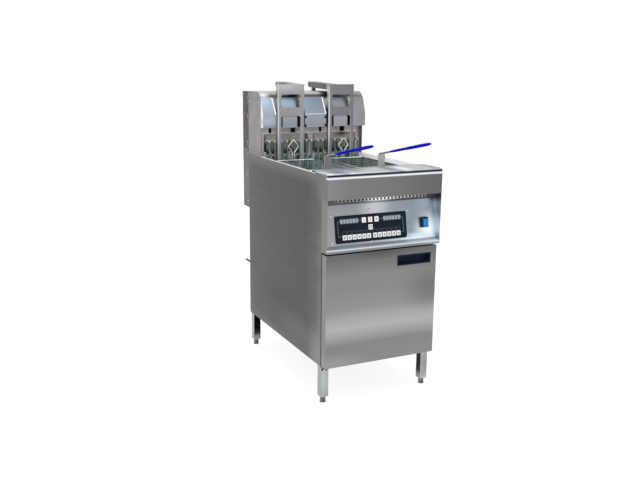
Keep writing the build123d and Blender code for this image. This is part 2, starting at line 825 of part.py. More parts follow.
def rear_cover(bottom, top, closed_below):
    """Box-shaped cover on the cabinet's back, open towards it and at the seam with its neighbour."""
    cover = slab(-half, half, cabinet_depth, rear_face, bottom, top)
    low = bottom + sheet if closed_below else bottom
    high = top if closed_below else top - sheet
    cover -= slab(-inner_half, inner_half, cabinet_depth, rear_face - sheet, low, high)
    hole = slab(rack_x - rack_size, rack_x + rack_size, rack_y - rack_size, rack_y + rack_size,
                (bottom + top) / 2, top + sheet)
    if not closed_below:
        for piece in both_sides(hole).values():
            cover -= piece
    return cover


def rear_standoffs():
    """Two black wall spacers on the cabinet's back, as deep as the rear cover."""
    x = half - standoff_inset
    rods = []
    for side in (-1, 1):
        rod = Rot(90, 0, 0) * stud(standoff_radius, rear_cover_depth)
        rods.append(Pos(side * x, (cabinet_depth + rear_face) / 2, standoff_height) * rod)
    return Compound(children=rods)


def arm_top(y):
    """Height of a lift arm's upper face, which climbs towards its rear end."""
    return frame_top + arm_rise * (y - frame_front) / (arm_rear - frame_front)


def lift_frame():
    """Right lift frame: windowed plate with flanges turned back and an arm that reaches over the housing."""
    left, right = frame_left, frame_right
    back = frame_front + frame_flange
    skin = frame_front + frame_plate
    frame = slab(left, right, frame_front, skin, frame_bottom, frame_top)
    for x in (left, right - frame_plate):
        frame += slab(x, x + frame_plate, frame_front, back, frame_bottom, frame_top)
    for low, high in ((hang_bar_top, mid_bar_bottom), (mid_bar_top, window_top)):
        outline = Rectangle(frame_width - 2 * frame_post, high - low)
        outline = fillet(outline.vertices().group_by(Axis.Y)[-1], window_radius)
        window = extrude(Plane.XZ * outline, amount=4 * frame_plate, both=True)
        frame -= Pos(lift_x, skin, (low + high) / 2) * window
    tail = arm_rear - arm_chamfer
    outline = profile([(frame_front, frame_top - arm_height), (frame_front, frame_top),
                       (arm_rear, arm_top(arm_rear)), (arm_rear, arm_top(arm_rear) - arm_height + arm_chamfer),
                       (tail, arm_top(tail) - arm_height)])
    room = profile([(skin, arm_top(skin) - frame_plate), (arm_rear, arm_top(arm_rear) - frame_plate),
                    (arm_rear, frame_top - 2 * arm_height), (skin, frame_top - 2 * arm_height)])
    arm = along_x(outline, left, left + arm_width)
    arm -= along_x(room, left + frame_plate, left + arm_width - frame_plate)
    hole = Rot(0, 90, 0) * stud(arm_pin_radius + arm_pin_clearance, 4 * arm_width)
    return frame + arm - Pos(rack_x, rack_y, arm_top(rack_y) - arm_pin_drop) * hole


def lift_rack():
    """Right lift's toothed bar, guided upright behind the housing, with a pin through the arm."""
    pitch = math.pi * gear_module
    left = rack_x - rack_size / 2
    right = rack_x + rack_size / 2
    pitch_line = left + gear_module
    root = pitch_line + 1.25 * gear_module
    slant = math.tan(math.radians(20))
    top = arm_top(rack_y - rack_size / 2) - frame_plate
    teeth_above = int(pinion_radius // pitch)
    teeth_below = int((lift_travel + pinion_radius) // pitch)
    tip_half = pitch / 4 - backlash / 2 - gear_module * slant
    root_half = pitch / 4 - backlash / 2 + 1.25 * gear_module * slant
    outline = [(right, rack_bottom), (right, top), (left, top)]
    for i in range(teeth_above, -teeth_below - 1, -1):
        gap = pinion_z + i * pitch
        outline += [(left, gap + pitch / 2 - tip_half), (root, gap + pitch / 2 - root_half),
                    (root, gap - pitch / 2 + root_half), (left, gap - pitch / 2 + tip_half)]
    outline.append((left, rack_bottom))
    bar = along_y(make_face(Polyline(*outline, close=True)), rack_y - rack_size / 2, rack_y + rack_size / 2)
    pin = Rot(0, 90, 0) * stud(arm_pin_radius, arm_width + 2 * arm_pin_head)
    return bar + Pos(rack_x, rack_y, arm_top(rack_y) - arm_pin_drop) * pin


def lift_pinion():
    """Right drive pinion with involute teeth, one piece with its shaft."""
    base = pinion_radius * math.cos(math.radians(20))
    outer = pinion_radius + gear_module
    root = pinion_radius - 1.25 * gear_module

    def involute(radius):
        angle = math.acos(min(base / radius, 1.0))
        return math.tan(angle) - angle

    pitch_half = math.pi / 2 / pinion_teeth - backlash / 2 / pinion_radius
    outline = []
    for i in range(pinion_teeth):
        middle = 2 * math.pi * i / pinion_teeth
        flank = []
        for radius in (root, base, outer):
            turn = pitch_half + involute(pinion_radius) - involute(max(radius, base))
            flank.append((radius, turn))
        for radius, turn in flank:
            outline.append((radius * math.cos(middle - turn), radius * math.sin(middle - turn)))
        for radius, turn in flank[::-1]:
            outline.append((radius * math.cos(middle + turn), radius * math.sin(middle + turn)))
    face = make_face(Polyline(*outline, close=True))
    gear = along_y(face, rack_y - pinion_face / 2, rack_y + pinion_face / 2)
    shaft_length = pinion_face / 2 + gearbox_gap + pinion_shaft_reach
    shaft = Pos(0, rack_y + shaft_length / 2, 0) * Rot(90, 0, 0) * Cylinder(pinion_shaft_radius, shaft_length)
    return Pos(pinion_x, 0, pinion_z) * (gear + shaft)


def lift_drive():
    """Right lift's gear motor on posts, and the two blocks that guide the rack."""
    front = gearbox_front
    box = slab(pinion_x - gearbox_width / 2, pinion_x + gearbox_width / 2, front, front + gearbox_depth,
               pinion_z - gearbox_height / 2, pinion_z + gearbox_height / 2)
    box = chamfer(box.edges().filter_by(Axis.Y), gearbox_gap * 2)
    shaft_room = Pos(pinion_x, front, pinion_z) * Rot(90, 0, 0) * Cylinder(
        pinion_shaft_radius + running_clearance, 2 * (pinion_shaft_reach + gearbox_gap))
    motor_top = pinion_z - gearbox_height / 2
    motor = stud(gearbox_depth / 2 - motor_inset, motor_length)
    motor = Pos(pinion_x, front + gearbox_depth / 2, motor_top - motor_length / 2) * motor
    drive = box + motor - shaft_room
    for z in (pinion_z - drive_post_drop, pinion_z + drive_post_drop):
        post = Rot(90, 0, 0) * stud(drive_post_radius, front - cabinet_depth)
        drive += Pos(pinion_x - drive_post_offset, (front + cabinet_depth) / 2, z) * post
    reach = rack_size / 2 + guide_gap
    guides = []
    for z in (pinion_z + lower_guide_rise, rear_cover_top - upper_guide_drop):
        block = slab(rack_x - reach - guide_wall, rack_x + reach + guide_wall, cabinet_depth,
                     rack_y + reach + guide_wall, z - guide_height / 2, z + guide_height / 2)
        room = slab(rack_x - reach, rack_x + reach, rack_y - reach, rack_y + reach,
                    z - guide_height, z + guide_height)
        guides.append(block - room)
    return Compound(children=[drive] + guides)


def net(length, height):
    """Flat net panel about its middle: a sheet with square gaps at an even pitch."""
    face = Rectangle(length, height)
    across = max(int(round(length / net_pitch)), 1)
    up = max(int(round(height / net_pitch)), 1)
    step_x = (length - net_wire) / across
    step_y = (height - net_wire) / up
    gaps = [Pos((i - (across - 1) / 2) * step_x, (j - (up - 1) / 2) * step_y) * Rectangle(
        step_x - net_wire, step_y - net_wire) for i in range(across) for j in range(up)]
    return extrude(face - gaps, amount=net_thickness / 2, both=True)


def basket_mesh():
    """Right basket's five net walls, each its own panel."""
    top = basket_rim_height - rim_wire
    middle_z = (basket_floor + top) / 2
    middle = (basket_front + basket_rear) / 2
    inset = net_thickness / 2
    side_length = basket_length - 2 * net_thickness
    end = Plane.XZ * net(2 * basket_half_width, basket_depth)
    wall = Plane.YZ * net(side_length, basket_depth)
    floor = net(2 * basket_half_width - 2 * net_thickness, side_length)
    walls = [Pos(lift_x, basket_front + inset, middle_z) * end,
             Pos(lift_x, basket_rear - inset, middle_z) * end,
             Pos(lift_x - basket_half_width + inset, middle, middle_z) * wall,
             Pos(lift_x + basket_half_width - inset, middle, middle_z) * wall,
             Pos(lift_x, middle, basket_floor + inset) * floor]
    return Compound(children=walls)


handle_plane = Plane((lift_x, basket_front - rim_wire, bracket_top), x_dir=(1, 0, 0),
                     z_dir=(0, -math.cos(math.radians(handle_slope)), math.sin(math.radians(handle_slope))))


def basket_frame():
    """Right basket's rim wire with handle bracket and stems in front, hooks and hanger loop behind."""
    rim_half = basket_half_width - rim_wire
    rim_front, rim_rear = basket_front + rim_wire, basket_rear - rim_wire
    frame = None
    for side in (-1, 1):
        corners = [(0, rim_front), (side * rim_half, rim_front), (side * rim_half, rim_rear), (0, rim_rear)]
        bend = wire_along(bent([(lift_x + x, y, basket_rim_height) for x, y in corners], rim_corner), rim_wire)
        frame = bend if frame is None else frame + bend
    front = basket_front - rim_wire
    bracket = slab(lift_x - bracket_width / 2, lift_x + bracket_width / 2, front - bracket_thickness / 2,
                   basket_front + rim_wire, basket_rim_height - rim_wire, bracket_top + stem_wire)
    bracket -= slab(lift_x - bracket_width, lift_x + bracket_width, front + bracket_thickness / 2,
                    basket_front + 2 * rim_wire, basket_rim_height, bracket_top + 2 * stem_wire)
    bracket = fillet(bracket.edges().filter_by(Axis.Y).group_by(Axis.Z)[-1], bracket_width / 4)
    frame += bracket
    for x in (-stem_spacing / 2, stem_spacing / 2):
        stem = extrude(RegularPolygon(stem_wire, 6, major_radius=False), amount=stem_length)
        frame += handle_plane * Pos(x, 0, 0) * stem
    rear_wire = basket_rear - rim_wire
    seat = hang_bar_top + hook_seat_gap
    lip_front = frame_front + frame_plate + hook_back_gap
    hook_path = [(basket_rear, basket_rim_height - hook_plate_drop), (basket_rear, seat + hook_sheet),
                 (lip_front + hook_sheet, seat + hook_sheet),
                 (lip_front + hook_sheet, seat + hook_sheet - hook_lip)]
    hook = profile(folded(hook_path, -hook_sheet))
    for x in (-hook_spacing / 2, hook_spacing / 2):
        plate = along_x(hook, lift_x + x - hook_width / 2, lift_x + x + hook_width / 2)
        plate += slab(lift_x + x - hook_width / 2, lift_x + x + hook_width / 2, basket_rear,
                      basket_rear + hook_sheet, seat, basket_rim_height + rim_wire)
        frame += plate
    neck = loop_neck_spacing / 2
    shoulder = (loop_neck + loop_top) / 2
    half_loop = [(-neck, basket_rim_height), (-neck, loop_neck), (-loop_half_width, shoulder),
                 (-neck, loop_top)]
    points = half_loop + [(-x, z) for x, z in reversed(half_loop)]
    loop = wire_along(bent([(lift_x + x, rear_wire, z) for x, z in points], loop_bend), loop_wire)
    return frame + loop


def grip_section(share, wide, tall):
    """Oval cut across the grip, some share of the way along it."""
    oval = [(wide * math.cos(2 * math.pi * k / grip_sides), tall * math.sin(2 * math.pi * k / grip_sides))
            for k in range(grip_sides)]
    return handle_plane * Pos(0, 0, stem_length + share * grip_length) * make_face(Polyline(*oval, close=True))


def basket_grip():
    """Right basket's dipped grip: flat where it takes the stems, drawn in at the waist, full at the end."""
    sections = []
    for (share, wide, tall), (next_share, next_wide, next_tall) in zip(grip_stations, grip_stations[1:]):
        for i in range(grip_steps):
            run = i / grip_steps
            ease = (1 - math.cos(math.pi * run)) / 2
            along = share + (next_share - share) * run
            sections.append(grip_section(along, wide + (next_wide - wide) * ease,
                                         tall + (next_tall - tall) * ease))
    sections.append(grip_section(*grip_stations[-1]))
    return loft(sections, ruled=True)


def save(name, shape):
    """Writes one piece, moved so that the machine's middle is at the origin."""
    solids = [Pos(0, -middle_y, 0) * solid for solid in shape.solids()]
    export_step(Compound(solids), f"parts/{name}.step")


def main():
    os.makedirs("parts", exist_ok=True)
    centres = leg_centres()
    single = {
        "bottom_tray": bottom_tray(), "fascia": fascia(), "control_panel": control_panel(),
        "control_overlay": control_overlay(), "rocker_bezel": rocker_bezel(), "power_rocker": power_rocker(),
        "door": door(), "door_handle": door_handle(), "door_hinges": door_hinges(), "vat": vat(),
        "drain_valve": drain_valve(), "drain_lever": drain_lever(), "heating_elements": heating_elements(),
        "back_panel": back_panel(), "top_cover": top_cover(), "hood": hood(), "glide_buttons": glide_buttons(),
        "back_wall": back_wall(), "rear_standoffs": rear_standoffs(),
        "rear_cover_lower": rear_cover(rear_cover_bottom, rear_cover_split - seam, True),
        "rear_cover_upper": rear_cover(rear_cover_split, rear_cover_top, False),
        "legs": Compound(children=[Pos(x, y, 0) * leg() for x, y in centres.values()]),
    }
    for name, shape in single.items():
        save(name, shape)
    for name, (x, y) in centres.items():
        save(f"foot_{name}", Pos(x, y, 0) * foot())
    for name, *place in key_places():
        save(name, key(*place))
    pairs = {"side_panel": side_panel, "housing_side": housing_side, "lift_frame": lift_frame,
             "lift_rack": lift_rack, "lift_pinion": lift_pinion, "lift_drive": lift_drive,
             "basket_mesh": basket_mesh, "basket_frame": basket_frame, "basket_grip": basket_grip}
    for name, make in pairs.items():
        for side, shape in both_sides(make()).items():
            save(f"{name}_{side}", shape)


main()
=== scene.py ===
"""Looks of a floor-standing electric deep fryer whose two wire baskets hang on powered lifts.

Metres, in the frame of the solids: X to the right seen from the front, Y to the back, Z up.
Places on the machine are written in millimetres, with depths from the face of the front fascia.
"""
import json
import math

import bmesh
import bpy
from mathutils import Matrix, Vector


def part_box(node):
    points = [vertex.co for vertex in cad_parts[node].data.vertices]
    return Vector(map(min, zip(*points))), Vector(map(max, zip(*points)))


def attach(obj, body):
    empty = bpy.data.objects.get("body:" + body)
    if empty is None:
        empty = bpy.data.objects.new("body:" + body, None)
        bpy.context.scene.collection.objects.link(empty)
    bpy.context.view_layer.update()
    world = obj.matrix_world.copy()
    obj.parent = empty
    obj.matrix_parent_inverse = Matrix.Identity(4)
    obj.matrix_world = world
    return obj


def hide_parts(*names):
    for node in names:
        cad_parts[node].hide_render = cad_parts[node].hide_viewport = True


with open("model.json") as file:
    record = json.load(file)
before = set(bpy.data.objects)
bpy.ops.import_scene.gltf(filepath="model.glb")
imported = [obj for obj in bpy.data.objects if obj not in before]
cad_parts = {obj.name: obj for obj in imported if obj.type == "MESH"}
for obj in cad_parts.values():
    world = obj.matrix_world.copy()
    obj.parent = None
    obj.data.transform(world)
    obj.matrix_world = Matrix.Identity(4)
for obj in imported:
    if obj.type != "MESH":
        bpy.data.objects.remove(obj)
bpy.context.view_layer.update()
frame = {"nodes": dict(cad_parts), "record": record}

mm = 0.001
face_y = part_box("fascia")[0].y

# Turns that make a piece, modelled with its face up, look to the front or to the back
quarter = math.radians(90)
to_front = (quarter, 0, 0)
to_back = (-quarter, 0, 0)

# Sloping control panel: depth and height of its lower fold, how far it leans, and the keypad plate on it
panel_foot = (17.0, 613.0)
panel_lean = math.atan2(147.0, 26.0)
film_top = 2.0
key_step = 20.1
lower_keys = [first + key_step * i for first in (-158.7, -32.8) for i in range(6)]
lower_row, upper_row, select_row = 28.6, 87.6, 60.1
upper_keys = (-76.1, -49.6, -23.1)

# Sheet edges: how far they are broken, and the turn between facets that is still shaded as one round
edge_break = 0.4
sheet_round = 18.3

# Baskets
basket_x = 117.5
basket_half = 98.0
basket_front = 250.0
basket_rear = 578.0
rim_height = 858.0
rim_wire = 3.0
rim_bend = 8.0
bracket_breadth = 30.0
hook_breadth = 14.0
hook_plate = 2.0
net_floor = 734.0
net_wire = 0.8
net_step = 8.0
net_bend = 8.0
handle_lean = math.radians(90 - 11.7)
handle_foot = (basket_front - rim_wire, 912.0)

# Heating elements: spacing of the hairpins, depths of their legs and heights of their runs
hairpin_first = 27.0
hairpin_step = 56.6
hairpin_half = 12.0
sheath_radius = 4.25
sheath_bend = 11.9
rear_leg = 666.0
front_leg = 613.0
run_front = 192.0
run_height = 700.0
arch_height = 936.0
gland_foot = 876.0
gland_tall = 12.0


def spot(x, depth, height):
    """A place on the machine, given in millimetres, as metres in the frame."""
    return Vector((x * mm, face_y + depth * mm, height * mm))


def panel_spot(x, up, proud=0.0):
    """A place on the sloping panel: across, up the slope and out of its face."""
    lean_y, lean_z = math.cos(panel_lean), math.sin(panel_lean)
    depth, height = panel_foot
    return spot(x, depth + up * lean_y - proud * lean_z, height + up * lean_z + proud * lean_y)


# Modelling by hand

def fresh():
    """Leaves edit mode with nothing selected, so that the next operator acts on its own piece alone."""
    if bpy.context.mode != "OBJECT":
        bpy.ops.object.mode_set(mode="OBJECT")
    bpy.ops.object.select_all(action="DESELECT")


def hold(*pieces):
    """Selects these pieces, the first of them active."""
    fresh()
    for piece in pieces:
        piece.select_set(True)
    bpy.context.view_layer.objects.active = pieces[0]
    return pieces[0]


def pick(kind, test):
    """In edit mode, selects only what passes test(middle, direction): a face's normal or an edge's run."""
    bpy.ops.mesh.select_mode(type=kind)
    bpy.ops.mesh.select_all(action="DESELECT")
    data = bpy.context.object.data
    mesh = bmesh.from_edit_mesh(data)
    if kind == "FACE":
        for face in mesh.faces:
            face.select_set(test(face.calc_center_median(), face.normal))
    else:
        for edge in mesh.edges:
            a, b = (vertex.co for vertex in edge.verts)
            edge.select_set(test((a + b) / 2, (b - a).normalized()))
    bmesh.update_edit_mesh(data)


def clean():
    """Merges a mesh's doubles and turns its faces outwards; leaves edit mode."""
    bpy.ops.mesh.select_all(action="SELECT")
    bpy.ops.mesh.remove_doubles(threshold=0.002 * mm)
    bpy.ops.mesh.normals_make_consistent(inside=False)
    bpy.ops.object.mode_set(mode="OBJECT")


def place(piece, where=(0, 0, 0), turn=(0, 0, 0)):
    """Moves a piece into place and leaves its object at the origin, unturned."""
    hold(piece)
    piece.location = where
    piece.rotation_euler = turn
    bpy.ops.object.transform_apply(location=True, rotation=True, scale=True)
    return piece


def another(piece, shift):
    """A copy of a piece with its own mesh, moved by a shift."""
    hold(piece)
    bpy.ops.object.duplicate(linked=False)
    return place(bpy.context.object, shift)


def joined(pieces):
    """Several pieces made into one mesh."""
    hold(*pieces)
    if len(pieces) > 1:
        bpy.ops.object.join()
    return bpy.context.object


def repeat(piece, count, step):
    """Makes a piece a row of copies at an even step, in one mesh."""
    hold(piece)
    row = piece.modifiers.new("row", "ARRAY")
    row.count = count
    row.use_relative_offset = False
    row.use_constant_offset = True
    row.constant_offset_displace = step
    bpy.ops.object.modifier_apply(modifier=row.name)


def draw_out(step):
    """Draws the selected faces or edges out by a step."""
    bpy.ops.mesh.extrude_region_move(TRANSFORM_OT_translate={"value": step})


def block(x, y, z, corner=0.0, edge=0.0, steps=2):
    """Block of x by y by z mm standing on the origin, with rounded upright corners and a softened top."""
    fresh()
    bpy.ops.mesh.primitive_cube_add(size=1, location=(0, 0, z * mm / 2), scale=(x * mm, y * mm, z * mm))
    piece = bpy.context.object
    bpy.ops.object.transform_apply(location=True, rotation=True, scale=True)
    bpy.ops.object.mode_set(mode="EDIT")
    if corner:
        pick("EDGE", lambda middle, run: abs(run.z) > 0.9)
        bpy.ops.mesh.bevel(offset=corner * mm, segments=steps + 1, affect="EDGES")
    if edge:
        pick("EDGE", lambda middle, run: middle.z > z * mm * 0.99 and abs(run.z) < 0.1)
        bpy.ops.mesh.bevel(offset=edge * mm, segments=steps, affect="EDGES")
    clean()
    return piece


def turned(stations, sides=24):
    """Round piece about the Z axis, drawn up from a disc through (radius, height) stations."""
    fresh()
    radius, height = stations[0]
    bpy.ops.mesh.primitive_circle_add(vertices=sides, radius=radius * mm, fill_type="NGON",
                                      location=(0, 0, height * mm))
    piece = bpy.context.object
    bpy.ops.object.transform_apply(location=True, rotation=True, scale=True)
    bpy.ops.object.mode_set(mode="EDIT")
    bpy.ops.mesh.select_all(action="SELECT")
    for wider, higher in stations[1:]:
        draw_out((0, 0, (higher - height) * mm))
        grow = wider / radius
        bpy.ops.transform.resize(value=(grow, grow, 1), center_override=(0, 0, 0))
        radius, height = wider, higher
    clean()
    return piece


def wire(points, radius, bend, sides=10, steps=4, closed=False):
    """Round wire bent along straight runs: a disc drawn along each run and spun round each corner."""
    corners = [Vector(point) for point in points]
    runs = [(b - a).normalized() for a, b in zip(corners, corners[1:])]
    fresh()
    bpy.ops.mesh.primitive_circle_add(vertices=sides, radius=radius * mm, location=corners[0],
                                      fill_type="NOTHING" if closed else "NGON",
                                      rotation=runs[0].to_track_quat("Z", "Y").to_euler())
    piece = bpy.context.object
    bpy.ops.object.transform_apply(location=True, rotation=True, scale=True)
    bpy.ops.object.mode_set(mode="EDIT")
    bpy.ops.mesh.select_mode(type="EDGE" if closed else "FACE")
    bpy.ops.mesh.select_all(action="SELECT")
    here = corners[0]
    for before, after, corner in zip(runs, runs[1:], corners[1:]):
        turn = before.angle(after)
        trim = bend * mm * math.tan(turn / 2)
        draw_out(corner - before * trim - here)
        centre = corner + (after - before).normalized() * (bend * mm / math.cos(turn / 2))
        bpy.ops.mesh.spin(steps=steps, angle=-turn, center=centre, axis=before.cross(after).normalized())
        here = corner + after * trim
    draw_out(corners[-1] - here)
    clean()
    return piece


def fit(piece, name, body, slot, *replaced, smooth=38.0):
    """Names a finished piece, smooths its rounds and hangs it on its body."""
    hold(piece)
    piece.name = piece.data.name = name
    bpy.ops.object.shade_smooth_by_angle(angle=math.radians(smooth))
    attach(piece, body)
    if replaced:
        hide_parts(*replaced)


def coat(piece, material):
    """Gives a piece one finish all over."""
    piece.data.materials.clear()
    piece.data.materials.append(material)
    return piece


# Finishes

def linear(code):
    """An sRGB hex colour as linear values."""
    shares = [int(code[i:i + 2], 16) / 255 for i in (1, 3, 5)]
    return [c / 12.92 if c <= 0.04045 else ((c + 0.055) / 1.055) ** 2.4 for c in shares] + [1.0]


def add(tree, kind, inputs=None, **settings):
    """Adds a node, with its settings and with its inputs set or linked."""
    node = tree.nodes.new(kind)
    for name, value in settings.items():
        setattr(node, name, value)
    for name, value in (inputs or {}).items():
        if isinstance(value, bpy.types.NodeSocket):
            tree.links.new(value, node.inputs[name])
        else:
            node.inputs[name].default_value = value
    return node


def start(name):
    """A new material with its node tree, its shader, and the piece's own coordinates and normals."""
    material = bpy.data.materials.new(name)
    material.use_nodes = True
    tree = material.node_tree
    return material, tree, tree.nodes["Principled BSDF"], add(tree, "ShaderNodeTexCoord").outputs


def sheet_steel(name, tones, cloud, brush, rough, contrast=0.05, along=None, painted_light=(), facing=(),
                metallic=1.0):
    """Stainless sheet: a tone that drifts between greys, and brush lines that lighten and roughen it.

    tones lists (place, colour); the places are shares of the clouds or, with along, millimetres along that
    axis of the frame, where the tones lay painted light and shade in bands. cloud and brush are the sizes of
    the pattern along X, Y and Z in millimetres. The real brush lines are about 0.2 mm apart; they are drawn
    as coarse as they need to show. painted_light lists (middle, reach, colour): soft patches, in millimetres
    from the frame's origin, of painted highlight, painted shade and painted reflection.
    facing lists (direction, from, to, colour): the tone that a face takes on as it turns that way, a painted
    reflection of the room it faces.
    """
    cloud_low, cloud_high = 0.32, 0.68
    line_low, line_high = 0.3, 0.7
    waver = 0.05
    rough_swing = 0.05
    material, tree, shader, own = start(name)
    coords, normal = own["Object"], own["Normal"]
    broad = add(tree, "ShaderNodeMapping", {"Vector": coords, "Scale": [1 / (size * mm) for size in cloud]})
    clouds = add(tree, "ShaderNodeTexNoise", {"Vector": broad.outputs[0], "Scale": 1.0, "Detail": 2.5})
    share = add(tree, "ShaderNodeMapRange", {"Value": clouds.outputs[0], "From Min": cloud_low,
                                             "From Max": cloud_high})
    first, last = tones[0][0], tones[-1][0]
    if along is not None:
        axes = add(tree, "ShaderNodeSeparateXYZ", {0: coords})
        run = add(tree, "ShaderNodeMapRange", {"Value": axes.outputs[along], "From Min": first * mm,
                                               "From Max": last * mm})
        drift = add(tree, "ShaderNodeMath", {0: share.outputs[0], 1: waver, 2: -waver / 2},
                    operation="MULTIPLY_ADD")
        share = add(tree, "ShaderNodeMath", {0: run.outputs[0], 1: drift.outputs[0]}, operation="ADD",
                    use_clamp=True)
    ramp = add(tree, "ShaderNodeValToRGB", {0: share.outputs[0]})
    stops = ramp.color_ramp.elements
    while len(stops) < len(tones):
        stops.new(0.5)
    for stop, (place_on, code) in zip(stops, tones):
        stop.position = (place_on - first) / (last - first)
        stop.color = linear(code)
    colour = ramp.outputs[0]
    # Painted reflection: each face takes on a tone as it turns towards a direction.
    for direction, begin, full, code in facing:
        toward = add(tree, "ShaderNodeVectorMath", {0: normal, 1: direction}, operation="DOT_PRODUCT")
        turned_to = add(tree, "ShaderNodeMapRange", {"Value": toward.outputs["Value"], "From Min": begin,
                                                     "From Max": full})
        colour = add(tree, "ShaderNodeMix", {0: turned_to.outputs[0], 6: colour, 7: linear(code)},
                     data_type="RGBA").outputs[2]
    # Painted highlight, painted shade and painted reflection in soft patches.
    for middle, reach, code in painted_light:
        away = add(tree, "ShaderNodeVectorMath", {0: coords, 1: [m * mm for m in middle]},
                   operation="SUBTRACT")
        away = add(tree, "ShaderNodeVectorMath", {0: away.outputs[0], 1: [r * mm for r in reach]},
                   operation="DIVIDE")
        away = add(tree, "ShaderNodeVectorMath", {0: away.outputs[0]}, operation="LENGTH")
        near = add(tree, "ShaderNodeMapRange", {"Value": away.outputs["Value"], "From Min": 1.0,
                                                "From Max": 0.0}, interpolation_type="SMOOTHSTEP")
        colour = add(tree, "ShaderNodeMix", {0: near.outputs[0], 6: colour, 7: linear(code)},
                     data_type="RGBA").outputs[2]
    fine = add(tree, "ShaderNodeMapping", {"Vector": coords, "Scale": [1 / (size * mm) for size in brush]})
    lines = add(tree, "ShaderNodeTexNoise", {"Vector": fine.outputs[0], "Scale": 1.0, "Detail": 3.0,
                                             "Roughness": 0.6})
    lift = add(tree, "ShaderNodeMapRange", {"Value": lines.outputs[0], "From Min": line_low,
                                            "From Max": line_high, "To Min": 1 - contrast,
                                            "To Max": 1 + contrast})
    brushed = add(tree, "ShaderNodeHueSaturation", {"Color": colour, "Value": lift.outputs[0]})
    dull = add(tree, "ShaderNodeMapRange", {"Value": lines.outputs[0], "From Min": line_low,
                                            "From Max": line_high, "To Min": rough - rough_swing,
                                            "To Max": rough + rough_swing})
    bump = add(tree, "ShaderNodeBump", {"Height": lines.outputs[0], "Strength": 0.1, "Distance": 0.1 * mm})
    tree.links.new(brushed.outputs[0], shader.inputs["Base Color"])
    tree.links.new(dull.outputs[0], shader.inputs["Roughness"])
    tree.links.new(bump.outputs[0], shader.inputs["Normal"])
    shader.inputs["Metallic"].default_value = metallic
    return material


def moulded(name, colour, worn, grain, rough, relief=0.1, specular=0.25, coat_weight=0.0):
    """Moulded, dipped or painted skin: a near-even colour, faintly worn, and a grain in its gloss."""
    gloss_swing = 0.08
    material, tree, shader, own = start(name)
    fine = add(tree, "ShaderNodeMapping", {"Vector": own["Object"], "Scale": [1 / (grain * mm)] * 3})
    grains = add(tree, "ShaderNodeTexNoise", {"Vector": fine.outputs[0], "Scale": 1.0, "Detail": 2.0})
    rubs = add(tree, "ShaderNodeTexNoise", {"Vector": fine.outputs[0], "Scale": 0.06, "Detail": 3.0})
    wear = add(tree, "ShaderNodeMapRange", {"Value": rubs.outputs[0], "From Min": 0.4, "From Max": 0.75})
    tone = add(tree, "ShaderNodeMix", {0: wear.outputs[0], 6: linear(colour), 7: linear(worn)},
               data_type="RGBA")
    gloss = add(tree, "ShaderNodeMapRange", {"Value": grains.outputs[0], "To Min": rough - gloss_swing,
                                             "To Max": rough + gloss_swing})
    bump = add(tree, "ShaderNodeBump", {"Height": grains.outputs[0], "Strength": relief,
                                        "Distance": 0.1 * mm})
    tree.links.new(tone.outputs[2], shader.inputs["Base Color"])
    tree.links.new(gloss.outputs[0], shader.inputs["Roughness"])
    tree.links.new(bump.outputs[0], shader.inputs["Normal"])
    shader.inputs["Specular IOR Level"].default_value = specular
    shader.inputs["Coat Weight"].default_value = coat_weight
    return material


# Directions for the painted reflections that a face takes on as it turns, and the reach of a painted patch
# that goes past the whole machine
upward, leftward, forward, backward = (0, 0, 1), (-1, 0, 0), (0, -1, 0), (0, 1, 0)
wide = 1e5

# Stainless sheet, grained along the sheet before folding, with edges that catch the light. Its soft sheen in
# broad level bands is painted reflection, and its patches painted highlight and painted shade.
# Side sheets: painted reflection, lighter towards the front, the top and the foot, darker through the middle;
# a painted highlight on faces that look up.
side_sheet = sheet_steel(
    "brushed stainless side sheet", along=1,
    cloud=(420, 160, 120), brush=(150, 150, 3), rough=0.4, contrast=0.02,
    tones=((-330, "#727272"), (-290, "#5d5d5d"), (-200, "#4d4d4d"), (150, "#4e4e4e"), (330, "#525252"),
           (403, "#5a5a5a")),
    facing=((upward, 0.3, 0.8, "#f4f1ea"),),
    painted_light=(((0, 0, 150), (wide, wide, 55), "#646464"),
            ((0, 0, 885), (wide, wide, 75), "#747372"),
            ((-240, 60, 330), (60, 330, 85), "#474747"),
            ((-240, -150, 215), (60, 300, 110), "#636363"),
            ((-240, -315, 190), (60, 130, 150), "#8a8a8a")))
# Fascia and deck: painted light, lighter towards the left; on the nose a painted dark reflection line and a
# painted highlight line; on the deck painted reflections in light and dark patches and painted shade along
# its back; a painted highlight on the strip under the fascia.
front_sheet = sheet_steel(
    "brushed stainless fascia sheet", along=0,
    cloud=(220, 220, 45), brush=(170, 170, 3), rough=0.38, contrast=0.03,
    tones=((-240, "#8a8a8a"), (-150, "#7d7d7d"), (-60, "#7b7b7b"), (60, "#757575"), (140, "#6d6d6d"),
           (240, "#686868")),
    facing=((upward, 0.1, 0.3, "#20263a"), (upward, 0.55, 0.8, "#b6b8bb"), (leftward, 0.6, 0.9, "#757575")),
    painted_light=(((0, -375, 862.5), (wide, 25, 6), "#fbfdff"),
            ((-232, -325, 880), (36, 130, 8), "#e2ecf5"),
            ((-143, -325, 880), (40, 130, 8), "#e0ebf3"),
            ((222, -325, 880), (44, 130, 8), "#959493"),
            ((88, -325, 880), (42, 130, 8), "#ffffff"),
            ((38, -300, 880), (34, 110, 8), "#77787a"),
            ((20, -245, 880), (260, 50, 10), "#727476"),
            ((-20, -352, 772), (95, 40, 16), "#ffffff")))
